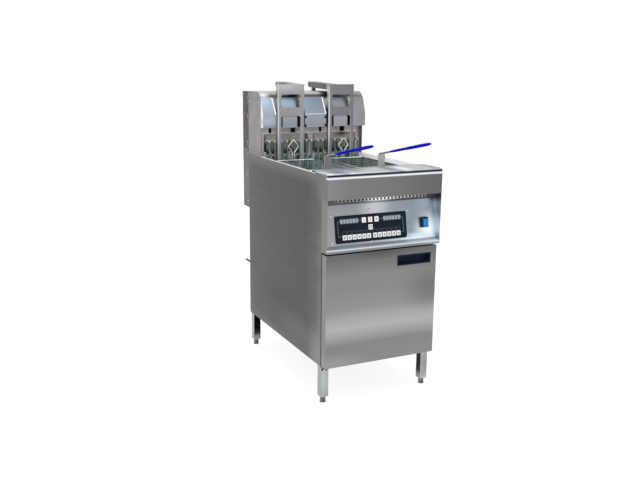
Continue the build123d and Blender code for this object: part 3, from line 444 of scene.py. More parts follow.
# Door: a painted reflection in a bright level band across it, painted shade towards the right and along its
# top under the panel, lighter at the lower left, and a painted tone on faces that look left.
door_sheet = sheet_steel(
    "brushed stainless door sheet", along=2,
    cloud=(900, 900, 200), brush=(420, 420, 7), rough=0.4, contrast=0.045,
    tones=((150, "#8b8b8b"), (222, "#878787"), (256, "#a0a0a0"), (288, "#b1b1b1"), (335, "#a5a5a5"),
           (372, "#939393"), (440, "#8b8b8b"), (500, "#898989"), (535, "#7a7a7a"), (583, "#6a6a6a")),
    facing=((leftward, 0.5, 0.95, "#8a8a8c"),),
    painted_light=(((225, 0, 425), (190, wide, 120), "#787878"),
            ((-10, 0, 580), (170, wide, 34), "#5d5d5d"),
            ((-215, 0, 165), (190, wide, 50), "#9a9a9a")))
# Stainless sheet with a bright finish: clearer bands, and a cool tint of painted reflection where it mirrors
# the room.
# Control panel: painted highlights high in the middle, on the right, along the foot and on the lip's edge; a
# painted reflection on the right cheek's inner face; painted shade at the cheek's foot and in the top right
# corner under the fascia.
panel_sheet = sheet_steel(
    "bright stainless panel sheet", along=0,
    cloud=(95, 140, 120), brush=(130, 130, 3), rough=0.36, contrast=0.05,
    tones=((-240, "#9b9ca2"), (-150, "#96989d"), (-20, "#9ea3a8"), (70, "#949ca6"), (140, "#8d97a2"),
           (225, "#a3b0bb")),
    facing=((forward, 0.995, 1.0, "#828282"), (leftward, 0.6, 0.9, "#7f7f81")),
    painted_light=(((-25, 0, 745), (85, wide, 75), "#c6cbcf"),
            ((205, 0, 650), (85, wide, 75), "#eaf6fe"),
            ((120, 0, 618), (180, wide, 18), "#c9d6df"),
            ((150, 0, 620), (80, wide, 26), "#dce7ee"),
            ((0, -375, 602), (wide, 12, 5), "#d5e1ea"),
            ((237.6, 0, 612), (3, wide, 30), "#8fa2ae"),
            ((237.6, 0, 670), (2.6, wide, 60), "#c9d6df"),
            ((237, 0, 735), (6, wide, 45), "#b9c9d3"),
            ((226, 0, 764), (24, wide, 24), "#6d6862"),
            ((240.6, 0, 650), (1.6, wide, 250), "#747477")))
# Vent band: a painted highlight across its middle.
vent_sheet = sheet_steel(
    "bright stainless vent band", along=0, cloud=(60, 60, 30), brush=(90, 90, 3), rough=0.38, contrast=0.03,
    tones=((-220, "#8b8988"), (-110, "#93928f"), (-60, "#e9eaeb"), (-10, "#fbfcfd"), (40, "#c3c3c2"),
           (170, "#8f8c88")))
# Hood: painted reflection, bluish towards the left and greyer on the upright faces; painted highlights on
# faces that look left, on the bend line and along the lower edge; painted shade at the right end.
hood_sheet = sheet_steel(
    "bright stainless hood sheet", along=0,
    cloud=(90, 90, 110), brush=(120, 120, 4), rough=0.36, contrast=0.04,
    tones=((-240, "#bbd2e4"), (-120, "#9db1c4"), (0, "#7d8d9f"), (120, "#808790"), (240, "#818283")),
    facing=((forward, 0.955, 1.0, "#9599a0"), (leftward, 0.7, 0.9, "#f3f7fb")),
    painted_light=(((-222, 233, 1018), (65, 40, 34), "#afbccb"),
            ((222, 233, 1045), (65, wide, 95), "#868685"),
            ((0, 233, 1046.5), (200, 12, 3.5), "#c6d2dd"),
            ((-60, 233, 993), (160, 12, 5), "#b3bfca")))
# Rolled hems in near white: a painted highlight along the deck's and the slots' edges.
hem_painted_highlight = sheet_steel(
    "rolled hem in painted highlight", cloud=(30, 30, 30), brush=(3, 3, 3), rough=0.3, contrast=0.02,
    tones=((0, "#f6f4ef"), (1, "#fffdf8")))
# Stainless sheet, folded and polished for the oil: pale, with wide smooth painted reflections on faces that
# look up and to the left.
vat_sheet = sheet_steel(
    "smooth stainless vat sheet", cloud=(120, 160, 90), brush=(140, 140, 5), rough=0.3, contrast=0.05,
    tones=((0, "#9fb0bb"), (1, "#dbe7ef")),
    facing=((upward, 0.6, 0.95, "#fbfcfd"), (leftward, 0.7, 0.95, "#bcc6cb")))
# The vat's right rim slope: near-white matt, a painted highlight.
rim_painted_highlight = sheet_steel(
    "stainless vat rim in painted highlight", cloud=(60, 60, 60), brush=(140, 140, 5), rough=0.4, contrast=0.02,
    tones=((0, "#f4f5f6"), (1, "#ffffff")), metallic=0.1)
# Stainless sheet as it left the mill: duller and cloudier, with faint upright streaks.
# Housing sides: a painted highlight on faces that look up, and a little darker in a band along the foot.
housing_sheet = sheet_steel(
    "mill-finish stainless housing sheet", cloud=(60, 60, 90), brush=(5, 5, 14), rough=0.42, contrast=0.03,
    tones=((0, "#8b8886"), (1, "#9d9a98")),
    facing=((upward, 0.3, 0.8, "#d8d8d8"),),
    painted_light=(((0, 0, 865), (wide, wide, 60), "#858382"),))
# Back wall: painted shade down the recesses' edges, beside their reveals, in the pockets' tops and along
# their foot; painted highlights on the posts and along the pockets' top edge; a painted bluish reflection on
# faces that look left.
wall_sheet = sheet_steel(
    "mill-finish stainless back wall sheet", cloud=(50, 50, 60), brush=(4, 4, 20), rough=0.5, contrast=0.04,
    tones=((0, "#b6b0ab"), (1, "#cac5c1")), metallic=0.5,
    facing=((leftward, 0.7, 0.95, "#d3e4f5"),),
    painted_light=(((-204, 308, 915), (13, 14, 75), "#26282a"),
            ((23, 308, 915), (13, 14, 75), "#26282a"),
            ((-9.5, 306, 920), (8, 13, 70), "#101214"),
            ((218, 306, 920), (8, 13, 70), "#101214"),
            ((0, 308, 880), (wide, 12, 26), "#2c3845"),
            ((-222, 281, 915), (5, 6, 60), "#f0ece6"),
            ((7, 281, 915), (5, 6, 60), "#f6f3ee"),
            ((0, 281, 966), (wide, 5, 5), "#dcd6d0"),
            ((165, 302, 955), (60, 30, 24), "#26231f")))
dull_sheet = sheet_steel(
    "mottled stainless cover sheet", cloud=(26, 26, 40), brush=(3, 3, 60), rough=0.45, contrast=0.05,
    tones=((0, "#3d3e45"), (0.5, "#545459"), (1, "#6b6b70")),
    facing=((backward, 0.6, 0.9, "#6f6f72"),))
# Stainless sheet, plate and tube with a satin finish: an even grey, with painted shade where it faces the
# dark.
skirt_sheet = sheet_steel(
    "satin stainless lower cover sheet", cloud=(40, 40, 140), brush=(3, 3, 60), rough=0.45, contrast=0.03,
    tones=((0, "#68686a"), (1, "#7a7a7c")))
# Top cover: a painted dark reflection in a band along its front round, lighter at its left end and darker at
# its right; painted shadow of the lift frames' top bars seen through their windows.
cover_sheet = sheet_steel(
    "satin stainless top cover sheet", cloud=(120, 120, 120), brush=(140, 140, 4), rough=0.36, contrast=0.04,
    tones=((0, "#a8a7a6"), (1, "#c2c1c0")),
    painted_light=(((0, 268, 1122), (wide, 70, 17), "#4a4846"),
            ((-228, 268, 1120), (42, 80, 24), "#c2c6cc"),
            ((-130, 265, 1118), (46, 60, 13), "#2a2725"),
            ((112, 265, 1118), (46, 60, 13), "#2a2725"),
            ((228, 265, 1120), (60, 120, 40), "#7b7875")))
# Lift frames: painted light, the left frame lighter than the right and lighter along its top; painted shade
# on faces that look left and on the arms behind; painted highlights down the posts' edges.
frame_plate = sheet_steel(
    "satin stainless lift plate", along=0, cloud=(60, 60, 90), brush=(3, 3, 90), rough=0.42, contrast=0.03,
    tones=((-180, "#a09e9f"), (-57, "#a09ea0"), (57, "#838185"), (180, "#7b797d")),
    facing=((leftward, 0.6, 0.9, "#6d6763"),),
    painted_light=(((-155, 0, 1165), (150, wide, 40), "#bcbec3"),
            ((0, 345, 1160), (wide, 90, wide), "#7b7773"),
            ((-176.5, 226, 1000), (8.5, 25, 260), "#e6eaee"),
            ((57.5, 235, 1120), (4, 32, 80), "#ffffff"),
            ((58.5, 226, 1000), (8.5, 25, 260), "#e6eaee"),
            ((-76, 226, 930), (10, 25, 160), "#d3dae2"),
            ((159, 226, 930), (10, 25, 160), "#b9bec4")))
# Legs: painted light on faces that look left, and painted shade on the front right and the rear left leg.
leg_tube = sheet_steel(
    "satin stainless leg tube", cloud=(30, 30, 60), brush=(3, 3, 80), rough=0.36, contrast=0.04,
    tones=((0, "#a0a7a7"), (1, "#b8bfbe")),
    facing=((leftward, 0.7, 0.9, "#a7abab"),),
    painted_light=(((222, -312, 90), (30, 40, 110), "#787b7b"),
            ((-222, 250, 90), (60, 90, 110), "#7d8080")))
# Painted shade on the legs' faces that look in under the machine: black high up, paler near the floor.
leg_shade = sheet_steel(
    "leg tube in painted shade under the cabinet", along=2,
    cloud=(20, 20, 30), brush=(3, 3, 80), rough=0.3, contrast=0.04,
    tones=((36, "#8d9090"), (56, "#2c2d2d"), (80, "#0d0e0e"), (150, "#080909")))
# Steel, turned or milled: a close even grey.
foot_steel = sheet_steel(
    "dull turned foot steel", cloud=(12, 12, 14), brush=(2, 2, 2), rough=0.4, contrast=0.05,
    tones=((0, "#55524e"), (1, "#85817c")))
machined = sheet_steel(
    "machined tool steel", cloud=(40, 40, 40), brush=(2, 2, 2), rough=0.38,
    tones=((0, "#5c5d60"), (1, "#77787b")))
# Brass and steel with a bright plating: small hard highlights.
plated = sheet_steel(
    "nickel-plated brass", cloud=(25, 25, 25), brush=(2, 2, 2), rough=0.25,
    tones=((0, "#a8a79f"), (1, "#c6c5bd")))
screw_steel = sheet_steel(
    "plated screw steel", cloud=(6, 6, 6), brush=(1, 1, 1), rough=0.25,
    tones=((0, "#b4b6ba"), (1, "#e4e6ea")))
# Nickel-plated wire and strip, drawn and welded: a painted highlight on faces that look up, and a tone that
# drifts at random between greys.
basket_plate = sheet_steel(
    "nickel-plated basket wire", cloud=(35, 35, 18), brush=(4, 4, 4), rough=0.3,
    tones=((0, "#a3acae"), (1, "#dfe6e8")),
    facing=((upward, 0.5, 0.9, "#ffffff"),))
loop_plate = sheet_steel(
    "rubbed nickel-plated loop wire", cloud=(25, 25, 25), brush=(4, 4, 4), rough=0.3,
    tones=((0, "#c3bcb8"), (1, "#ece8e5")))
# Handle brackets: painted light, the left basket's darker than the right's, and painted highlights on faces
# that look up and to the left.
bracket_plate = sheet_steel(
    "nickel-plated bracket with painted light", along=0, cloud=(14, 14, 14), brush=(3, 3, 3), rough=0.4,
    tones=((-140, "#8d8a87"), (140, "#c4c1bc")),
    facing=((upward, 0.6, 0.95, "#dedbd6"), (leftward, 0.6, 0.9, "#e6e4e0")))
# Nickel-alloy sheath baked in hot oil: green-grey oxide, with painted highlights on the bends and on faces
# that look up, and painted shade on the rear legs.
sheath = sheet_steel(
    "oxidised heating sheath with painted highlight and shade", along=1, cloud=(30, 40, 22), brush=(5, 5, 3), rough=0.3, metallic=0.15,
    tones=((225, "#5b746b"), (246, "#566f68"), (264, "#35423f"), (285, "#222b29")),
    facing=((upward, 0.3, 0.75, "#ffffff"),),
    painted_light=(((0, 278, 946), (wide, 36, 30), "#ffffff"),
            ((0, 274, 938), (wide, 30, 14), "#ffffff")))
# Injection-moulded nylon and ABS: deep black with a faint grain that softens the light. The real grain is
# under 0.1 mm; here and in the next skins it is drawn as coarse as it needs to show.
nylon = moulded("moulded black nylon", "#0f0f10", "#1d1d1f", grain=1.2, rough=0.5)
handle_skin = moulded("moulded blue-black handle", "#101c2c", "#18253a", grain=1.4, rough=0.5, specular=0.1)
switch_body = moulded("moulded black switch body", "#0d0e11", "#16181c", grain=1.2, rough=0.45,
                      specular=0.15)
# Moulded ABS key caps and polycarbonate rocker: clean white, and a blue with a wet gloss.
key_cap = moulded("moulded white key", "#fdfdff", "#f3f5f9", grain=1.2, rough=0.42, relief=0.06)
switch_lens = moulded("moulded blue rocker", "#1681c4", "#2390d2", grain=2.0, rough=0.25, relief=0.04,
                      coat_weight=0.2)
# Printed polyester film over the keypad and screen ink on it: flat, dark and glossy, with paler lines.
film = moulded("printed keypad film", "#161d28", "#1c2430", grain=2.0, rough=0.35, relief=0.03,
               specular=0.08)
display = moulded("smoked display window", "#535c68", "#5d6673", grain=2.0, rough=0.3, relief=0.02,
                  specular=0.1)
segment = moulded("unlit display segment", "#c6ccd4", "#d4dae0", grain=1.0, rough=0.4, relief=0.04,
                  specular=0.1)
lamp = moulded("printed lamp outline", "#4d5a70", "#5b6980", grain=1.0, rough=0.4, relief=0.04, specular=0.1)
line_ink = moulded("pale printed line", "#8d97a6", "#a4aebb", grain=1.0, rough=0.4, relief=0.03,
                   specular=0.1)
key_ink = moulded("dark key print", "#2c3345", "#3b4356", grain=1.0, rough=0.45, relief=0.04, specular=0.1)
key_red = moulded("red key print", "#d8505c", "#c4424e", grain=1.0, rough=0.45, relief=0.04, specular=0.1)
# Steel rod dipped in soft PVC: deep even blue, soft in its shine.
grip_dip = moulded("dipped blue grip", "#0000bd", "#0101c8", grain=3.0, rough=0.45, relief=0.06,
                   specular=0.05)
# Stoved enamel on the motor's castings: black, half matt.
black_paint = moulded("black motor paint", "#1b1b1d", "#2a2a2d", grain=1.5, rough=0.45)

finish_of = {
    "side_steel": side_sheet, "front_steel": front_sheet, "panel_steel": panel_sheet,
    "dull_steel": dull_sheet, "bright_steel": hood_sheet, "vat_steel": vat_sheet, "frame_steel": frame_plate,
    "leg_steel": leg_tube, "black_nylon": nylon, "keypad_film": film, "key_white": key_cap,
    "switch_black": switch_body, "switch_blue": switch_lens, "handle_black": handle_skin,
    "element_sheath": sheath, "valve_metal": plated, "rack_steel": machined, "drive_black": black_paint,
    "basket_wire": basket_plate, "grip_blue": grip_dip,
}
own_finish = {
    "door": door_sheet, "housing_side_left": housing_sheet, "housing_side_right": housing_sheet,
    "door_hinges": nylon, "back_wall": wall_sheet, "top_cover": cover_sheet, "rear_cover_lower": skirt_sheet,
    "back_panel": skirt_sheet, "bottom_tray": skirt_sheet,
}
slot_of = {part["node"]: part["material_slot"] for part in frame["record"]["subparts"]}
body_of = {node: body for body, nodes in frame["record"]["behaviour"]["bodies"].items() for node in nodes}
for node, solid in frame["nodes"].items():
    coat(solid, own_finish.get(node, finish_of[slot_of[node]]))


# Sheets with softened edges

def softened(node):
    """A solid's own shape with every sharp edge broken, as a deburred sheet has."""
    solid = frame["nodes"][node]
    piece = bpy.data.objects.new(node + "_sheet", solid.data.copy())
    bpy.context.scene.collection.objects.link(piece)
    hold(piece)
    bpy.ops.object.mode_set(mode="EDIT")
    bpy.ops.mesh.select_all(action="SELECT")
    bpy.ops.mesh.remove_doubles(threshold=0.001 * mm)
    bpy.ops.mesh.dissolve_limited(angle_limit=math.radians(1))
    bpy.ops.object.mode_set(mode="OBJECT")
    broken = piece.modifiers.new("broken edges", "BEVEL")
    broken.width = edge_break * mm
    broken.segments = 2
    broken.limit_method = "ANGLE"
    broken.angle_limit = math.radians(40)
    broken.use_clamp_overlap = True
    bpy.ops.object.modifier_apply(modifier=broken.name)
    fit(piece, node + "_sheet", body_of[node], slot_of[node], node, smooth=sheet_round)


def refinished(name, material, test):
    """Gives the faces of a piece that pass test(middle, normal) a finish of their own."""
    piece = hold(bpy.data.objects[name])
    piece.data.materials.append(material)
    bpy.ops.object.mode_set(mode="EDIT")
    pick("FACE", test)
    piece.active_material_index = 1
    bpy.ops.object.material_slot_assign()
    fresh()


def looks_under(middle, normal):
    """True for a leg's faces that look in under the machine."""
    across = abs(normal.x) > 0.9 and normal.x * middle.x < 0
    return across or (abs(normal.y) > 0.9 and normal.y * middle.y < 0)


def right_slope(middle, normal):
    """True for the sloping rim along the vat's right side."""
    return middle.x > 200 * mm and normal.x < -0.6 and normal.z > 0.4


for node in ("side_panel_left", "side_panel_right", "housing_side_left", "housing_side_right", "fascia",
             "door", "control_panel", "hood", "top_cover", "lift_frame_left", "lift_frame_right", "legs",
             "vat", "rear_cover_upper", "rear_cover_lower", "door_handle", "rocker_bezel", "power_rocker",
             "control_overlay", "back_wall"):
    softened(node)
# Painted shade on the legs' faces that look in under the machine, and a painted highlight on the vat's right
# rim slope.
refinished("legs_sheet", leg_shade, looks_under)
refinished("vat_sheet", rim_painted_highlight, right_slope)


# Heating elements: one hairpin bent up and copied

def hairpins():
    """Eight hairpin tubes over the rear rim, each with two hexagon glands on the deck."""
    chamfer = 1.4
    gland = ((6.4, 0), (7.9, chamfer), (7.9, gland_tall - chamfer), (6.4, gland_tall))
    near, far = -hairpin_half, hairpin_half
    down = [(rear_leg, gland_foot + gland_tall), (rear_leg, arch_height), (front_leg, arch_height),
            (front_leg, run_height), (run_front, run_height)]
    run = [spot(near, depth, height) for depth, height in down]
    run += [spot(far, depth, height) for depth, height in reversed(down)]
    pin = coat(wire(run, sheath_radius, sheath_bend, sides=12, steps=5), sheath)
    nuts = []
    for x in (near, far):
        nuts.append(coat(place(turned(gland, sides=6), spot(x, rear_leg, gland_foot)), plated))
    pin = joined([pin] + nuts)
    pins = []
    for side in (-1, 1):
        for i in range(4):
            pins.append(another(pin, (side * (hairpin_first + i * hairpin_step) * mm, 0, 0)))
    bpy.data.objects.remove(pin)
    fit(joined(pins), "element_hairpins", "cabinet", "element_sheath", "heating_elements")


# Baskets: bent wire, modelled once about the right basket's middle and copied to the left

def basket_loop(half, front, rear, height):
    """Corners of a level loop round the basket, from the middle of its front and back to it."""
    corners = ((0, front), (half, front), (half, rear), (-half, rear), (-half, front), (0, front))
    return [spot(basket_x + x, depth, height) for x, depth in corners]


def basket_net():
    """Welded wire net: bent wires front to back and side to side, tied by level rings."""
    inset, ring_inset, ring_slack = 1.0, 1.5, 0.1
    half, low, high = basket_half - inset, net_floor, rim_height
    front, rear = basket_front + inset, basket_rear - inset
    lengthways = wire([spot(basket_x, front, high), spot(basket_x, front, low),
                       spot(basket_x, rear, low), spot(basket_x, rear, high)],
                      net_wire, net_bend, sides=6, steps=3)
    count = int((2 * half - 2 * net_bend) / net_step)
    place(lengthways, (-count * net_step / 2 * mm, 0, 0))
    repeat(lengthways, count + 1, (net_step * mm, 0, 0))
    across = low + 2 * net_wire
    side = half - 2 * net_wire
    middle = (front + rear) / 2
    sideways = wire([spot(basket_x - side, middle, high), spot(basket_x - side, middle, across),
                     spot(basket_x + side, middle, across), spot(basket_x + side, middle, high)],
                    net_wire, net_bend, sides=6, steps=3)
    count = int((rear - front - 2 * net_bend) / net_step)
    place(sideways, (0, -count * net_step / 2 * mm, 0))
    repeat(sideways, count + 1, (0, net_step * mm, 0))
    level = low + net_bend
    loop = basket_loop(side + ring_slack, front + ring_inset, rear - ring_inset, level)
    rings = wire(loop, net_wire, net_bend, sides=6, steps=3, closed=True)
    repeat(rings, int((high - level) / net_step), (0, 0, net_step * mm))
    return coat(joined([lengthways, sideways, rings]), basket_plate)


def hook_strip(x):
    """Strip that reaches from the rim back over the lift frame's hang bar and turns down behind it."""
    reach, drop, thickness, height = 25.9, 13.0, 1.9, 847.25
    begin = basket_rear + hook_plate / 2
    fresh()
    centre = spot(x, begin + reach / 2, height)
    bpy.ops.mesh.primitive_plane_add(size=hook_breadth * mm, location=centre)
    strip = bpy.context.object
    bpy.ops.object.transform_apply(location=True, rotation=True, scale=True)
    rear = spot(x, begin + reach, 0).y
    bpy.ops.object.mode_set(mode="EDIT")
    bpy.ops.mesh.select_all(action="SELECT")
    bpy.ops.transform.resize(value=(1, reach / hook_breadth, 1), center_override=centre)
    pick("EDGE", lambda middle, run: middle.y > rear - 0.5 * mm)
    draw_out((0, 0, -drop * mm))
    clean()
    thick = strip.modifiers.new("sheet", "SOLIDIFY")
    thick.thickness = thickness * mm
    thick.offset = 0.0
    hold(strip)
    bpy.ops.object.modifier_apply(modifier=thick.name)
    return strip


def handle_bracket():
    """Upright plate on the front of the rim that takes the handle's stems, its upper corners rounded."""
    tall, thickness, corner, middle_height = 60.0, 2.5, 7.5, 885.0
    bracket = coat(block(bracket_breadth, tall, thickness), bracket_plate)
    hold(bracket)
    bpy.ops.object.mode_set(mode="EDIT")
    pick("EDGE", lambda middle, run: abs(run.z) > 0.9 and middle.y > 0)
    bpy.ops.mesh.bevel(offset=corner * mm, segments=5, affect="EDGES")
    clean()
    return place(bracket, spot(basket_x, basket_front - rim_wire + thickness / 2, middle_height), to_front)


def basket_rim():
    """Rim wire with the handle's bracket and stems in front, the hooks and the hanger loop behind."""
    stem = ((2.4, -1.5), (3, -0.9), (3, 73), (3, 90))
    stem_side, foot_reach, foot_proud, foot_round = 8, 8, 0.2, 1.5
    hook_side, hook_plate_foot, hook_plate_tall = 30, 818.5, 42
    hanger_wire, hanger_bend = 2.5, 4
    loop = [(-4.5, 858), (-4.5, 890), (-23, 915), (-4.5, 940), (4.5, 940), (23, 915), (4.5, 890), (4.5, 858)]
    side, front, rear = basket_half - rim_wire, basket_front + rim_wire, basket_rear - rim_wire
    rim = basket_loop(side, front, rear, rim_height)
    made = [wire(rim, rim_wire, rim_bend, sides=12, steps=5, closed=True)]
    bracket = handle_bracket()
    foot = block(bracket_breadth, foot_reach, 2 * rim_wire, edge=foot_round)
    made.append(place(foot, spot(basket_x, basket_front + foot_proud, rim_height - rim_wire)))
    for x in (-stem_side, stem_side):
        made.append(place(turned(stem, sides=12), spot(basket_x + x, *handle_foot), (handle_lean, 0, 0)))
    for x in (-hook_side, hook_side):
        plate = block(hook_breadth, hook_plate, hook_plate_tall)
        made.append(place(plate, spot(basket_x + x, basket_rear + hook_plate / 2, hook_plate_foot)))
        made.append(hook_strip(basket_x + x))
    hanger = wire([spot(basket_x + x, rear, height) for x, height in loop], hanger_wire, hanger_bend)
    return joined([coat(joined(made), basket_plate), coat(hanger, loop_plate), bracket])


def basket_handle():
    """Dipped grip: flat where it takes the stems, drawn in at the waist, full at the end.

    Each station is a share of the grip's length with half its breadth and half its thickness there.
    """
    stations = ((0.0, 8.5, 3.2), (0.01, 11.0, 4.2), (0.06, 12.4, 4.6), (0.12, 13.0, 4.8), (0.3, 12.7, 5.0),
                (0.45, 11.6, 5.3), (0.54, 8.4, 6.1), (0.6, 7.6, 6.4), (0.67, 8.6, 6.4), (0.75, 10.9, 6.4),
                (0.84, 11.6, 6.3), (0.94, 10.5, 5.6), (0.975, 8.4, 4.7), (0.995, 5.0, 3.0), (1.0, 2.6, 1.7))
    begin, length = 73.5, 276.0
    fresh()
    share, breadth, tall = stations[0]
    bpy.ops.mesh.primitive_circle_add(vertices=24, radius=breadth * mm, fill_type="NGON",
                                      location=(0, 0, begin * mm))
    grip = bpy.context.object
    bpy.ops.object.transform_apply(location=True, rotation=True, scale=True)
    bpy.ops.object.mode_set(mode="EDIT")
    bpy.ops.mesh.select_all(action="SELECT")
    bpy.ops.transform.resize(value=(1, tall / breadth, 1), center_override=(0, 0, 0))
    for next_share, next_breadth, next_tall in stations[1:]:
        draw_out((0, 0, (next_share - share) * length * mm))
        grow = (next_breadth / breadth, next_tall / tall, 1)
        bpy.ops.transform.resize(value=grow, center_override=(0, 0, 0))
        share, breadth, tall = next_share, next_breadth, next_tall
    clean()
    rounded = grip.modifiers.new("dip", "SUBSURF")
    rounded.levels = rounded.render_levels = 1
    hold(grip)
    bpy.ops.object.modifier_apply(modifier=rounded.name)
    return coat(place(grip, spot(basket_x, *handle_foot), (handle_lean, 0, 0)), grip_dip)


def baskets():
    """Both baskets' nets, rims and grips."""
    makes = ((basket_net, "net", "basket_wire", "basket_mesh"),
             (basket_rim, "rim", "basket_wire", "basket_frame"),
             (basket_handle, "handle", "grip_blue", "basket_grip"))
    for make, name, slot, node in makes:
        right = make()
        left = another(right, (-2 * basket_x * mm, 0, 0))
        fit(right, f"basket_{name}_right", "basket_right", slot, node + "_right")
        fit(left, f"basket_{name}_left", "basket_left", slot, node + "_left")


# Feet, glides and wall spacers

def levelling_feet():
    """Four turned feet under the legs."""
    stations = ((9.5, 0), (11.6, 0.8), (12, 2), (12, 4), (10.6, 6.4), (10.5, 22), (9.6, 24.4), (5, 24.7),
                (5, 40))
    foot = coat(turned(stations), foot_steel)
    for place_name in ("front_left", "front_right", "rear_left", "rear_right"):
        low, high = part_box("foot_" + place_name)
        middle = (low + high) / 2
        piece = another(foot, (middle.x, middle.y, 0))
        fit(piece, f"levelling_foot_{place_name}", f"foot_{place_name}", "leg_steel", f"foot_{place_name}")
    bpy.data.objects.remove(foot)


def nylon_studs():
    """Four glides beside the lift frames and two wall spacers on the back."""
    glide = ((6, 0), (6, 8.2), (5.5, 9.1), (4.4, 9.5), (2.2, 9.3))
    glide_side, glide_depth, glide_heights = 51.2, 607.5, (998, 1035)
    spacer = ((3.6, 0), (4, 0.5), (4, 62), (4.0, 66), (3.4, 68.4), (2.4, 69))
    spacer_side, spacer_depth, spacer_height = 232, 776, 380
    glides = []
    for x in (-glide_side, glide_side):
        for height in glide_heights:
            glides.append(coat(place(turned(glide), spot(x, glide_depth, height), to_front), nylon))
    fit(joined(glides), "lift_glides", "cabinet", "black_nylon", "glide_buttons")
    spacers = []
    for x in (-spacer_side, spacer_side):
        spacers.append(coat(place(turned(spacer), spot(x, spacer_depth, spacer_height), to_back), nylon))
    fit(joined(spacers), "wall_spacers", "cabinet", "black_nylon", "rear_standoffs")


# Keypad and switch

def on_panel(piece, x, up, proud):
    """Lays a piece that was modelled flat onto the sloping panel."""
    return place(piece, panel_spot(x, up, proud), (panel_lean, 0, 0))


def bar(x0, y0, x1, y1, width, thick=0.15):
    """Flat printed bar between two points of a mark."""
    length = math.hypot(x1 - x0, y1 - y0)
    piece = block(length, width, thick, corner=width * 0.3, steps=1)
    return place(piece, ((x0 + x1) / 2 * mm, (y0 + y1) / 2 * mm, 0), (0, 0, math.atan2(y1 - y0, x1 - x0)))


def key_piece(width, height, strokes, ink):
    """White key cap with a printed mark of a few strokes, set a little into its top."""
    tall, corner, edge, sink, stroke_width = 3.2, 1.8, 0.5, 0.05, 1.8
    cap = coat(block(width, height, tall, corner=corner, edge=edge), key_cap)
    marks = [coat(place(bar(*stroke, stroke_width), (0, 0, (tall - sink) * mm)), ink) for stroke in strokes]
    return joined([cap] + marks)


def keys():
    """Sixteen keys on their own sprung bodies."""
    lower_cap, upper_cap = (17, 18), (17.5, 19.5)
    cross = ((-4.2, -5.0, 4.2, 3.6), (-4.2, 3.6, 4.2, -5.0))
    minus = ((-4.6, 0, 4.6, 0),)
    plus = ((-4.6, 0, 4.6, 0), (0, -4.8, 0, 4.8))
    post = ((0, -4.6, 0, 2.2), (-1.6, 5.2, 1.6, 5.2))
    ring = ((-4.6, -4.6, 4.6, -4.6), (-4.6, 4.6, 4.6, 4.6), (-4.6, -4.6, -4.6, 4.6), (4.6, -4.6, 4.6, 4.6))
    places = [(f"key_{i + 1:02d}", x, lower_row) for i, x in enumerate(lower_keys)]
    down, middle, rise = upper_keys
    groups = (((*lower_cap, cross, key_ink), places),
              ((*upper_cap, minus, key_red), [("key_down", down, upper_row)]),
              ((*upper_cap, post, key_ink), [("key_set", middle, upper_row)]),
              ((*upper_cap, plus, key_red), [("key_up", rise, upper_row)]),
              ((*upper_cap, ring, key_ink), [("key_select", middle, select_row)]))
    for shape, spots in groups:
        cap = key_piece(*shape)
        for name, x, up_slope in spots:
            piece = on_panel(another(cap, (0, 0, 0)), x, up_slope, 0)
            fit(piece, name + "_cap", name, "key_white", name)
        bpy.data.objects.remove(cap)


def displays():
    """Two smoked display windows, each with six unlit figures of seven segments."""
    count, step = 6, 12.6
    strokes = ((-2.6, 0, 2.6, 0), (-2.6, 6, 2.6, 6), (-2.6, -6, 2.6, -6), (-3.3, 0.6, -3.3, 5.4),
               (3.3, 0.6, 3.3, 5.4), (-3.3, -5.4, -3.3, -0.6), (3.3, -5.4, 3.3, -0.6))
    stroke_width, stroke_tall, sink = 2.6, 0.12, 0.01
    breadth, height, thickness, corner = 78, 18.5, 0.25, 1.5
    first = (-(count - 1) / 2 * step * mm, 0, (thickness - sink) * mm)
    for name, x in (("left", -137.0), ("right", 42.6)):
        window = coat(block(breadth, height, thickness, corner=corner), display)
        bars = [coat(place(bar(*stroke, stroke_width, stroke_tall), first), segment) for stroke in strokes]
        figure = joined(bars)
        repeat(figure, count, (step * mm, 0, 0))
        piece = on_panel(joined([window, figure]), x, upper_row, film_top)
        fit(piece, f"display_{name}", "cabinet", "keypad_film")


def keypad_print():
    """Printed lines round the key groups and an outlined lamp window above each lower key."""
    runs = ((-177, 88, -185, 88), (-185, 88, -183, 33), (-183, 33, -172, 33), (82.5, 88, 89, 88),
            (89, 88, 91, 32), (91, 32, 80, 32), (-97, 88, -88, 88), (-11, 88, 2.5, 88))
    line_width, lamp_width = 1.2, 1.5
    lines = [coat(bar(*run, line_width), line_ink) for run in runs]
    fit(on_panel(joined(lines), 0, 0, film_top), "keypad_lines", "cabinet", "keypad_film")
    half, low, high = 7.6, 40, 50.5
    lamps = []
    for x in lower_keys:
        outline = ((x - half, low), (x - half, high), (x + half, high), (x + half, low))
        for begin, end in zip(outline, outline[1:]):
            lamps.append(coat(bar(*begin, *end, lamp_width), lamp))
    fit(on_panel(joined(lamps), 0, 0, film_top), "key_lamps", "cabinet", "keypad_film")


# Screws, vents and hems

def screw(head):
    """Pan-head screw with a round driver socket, standing on the origin."""
    return turned(((head, 0), (head, 0.25 * head), (0.88 * head, 0.45 * head), (0.6 * head, 0.58 * head),
                   (0.32 * head, 0.6 * head), (0.3 * head, 0.3 * head)), sides=16)


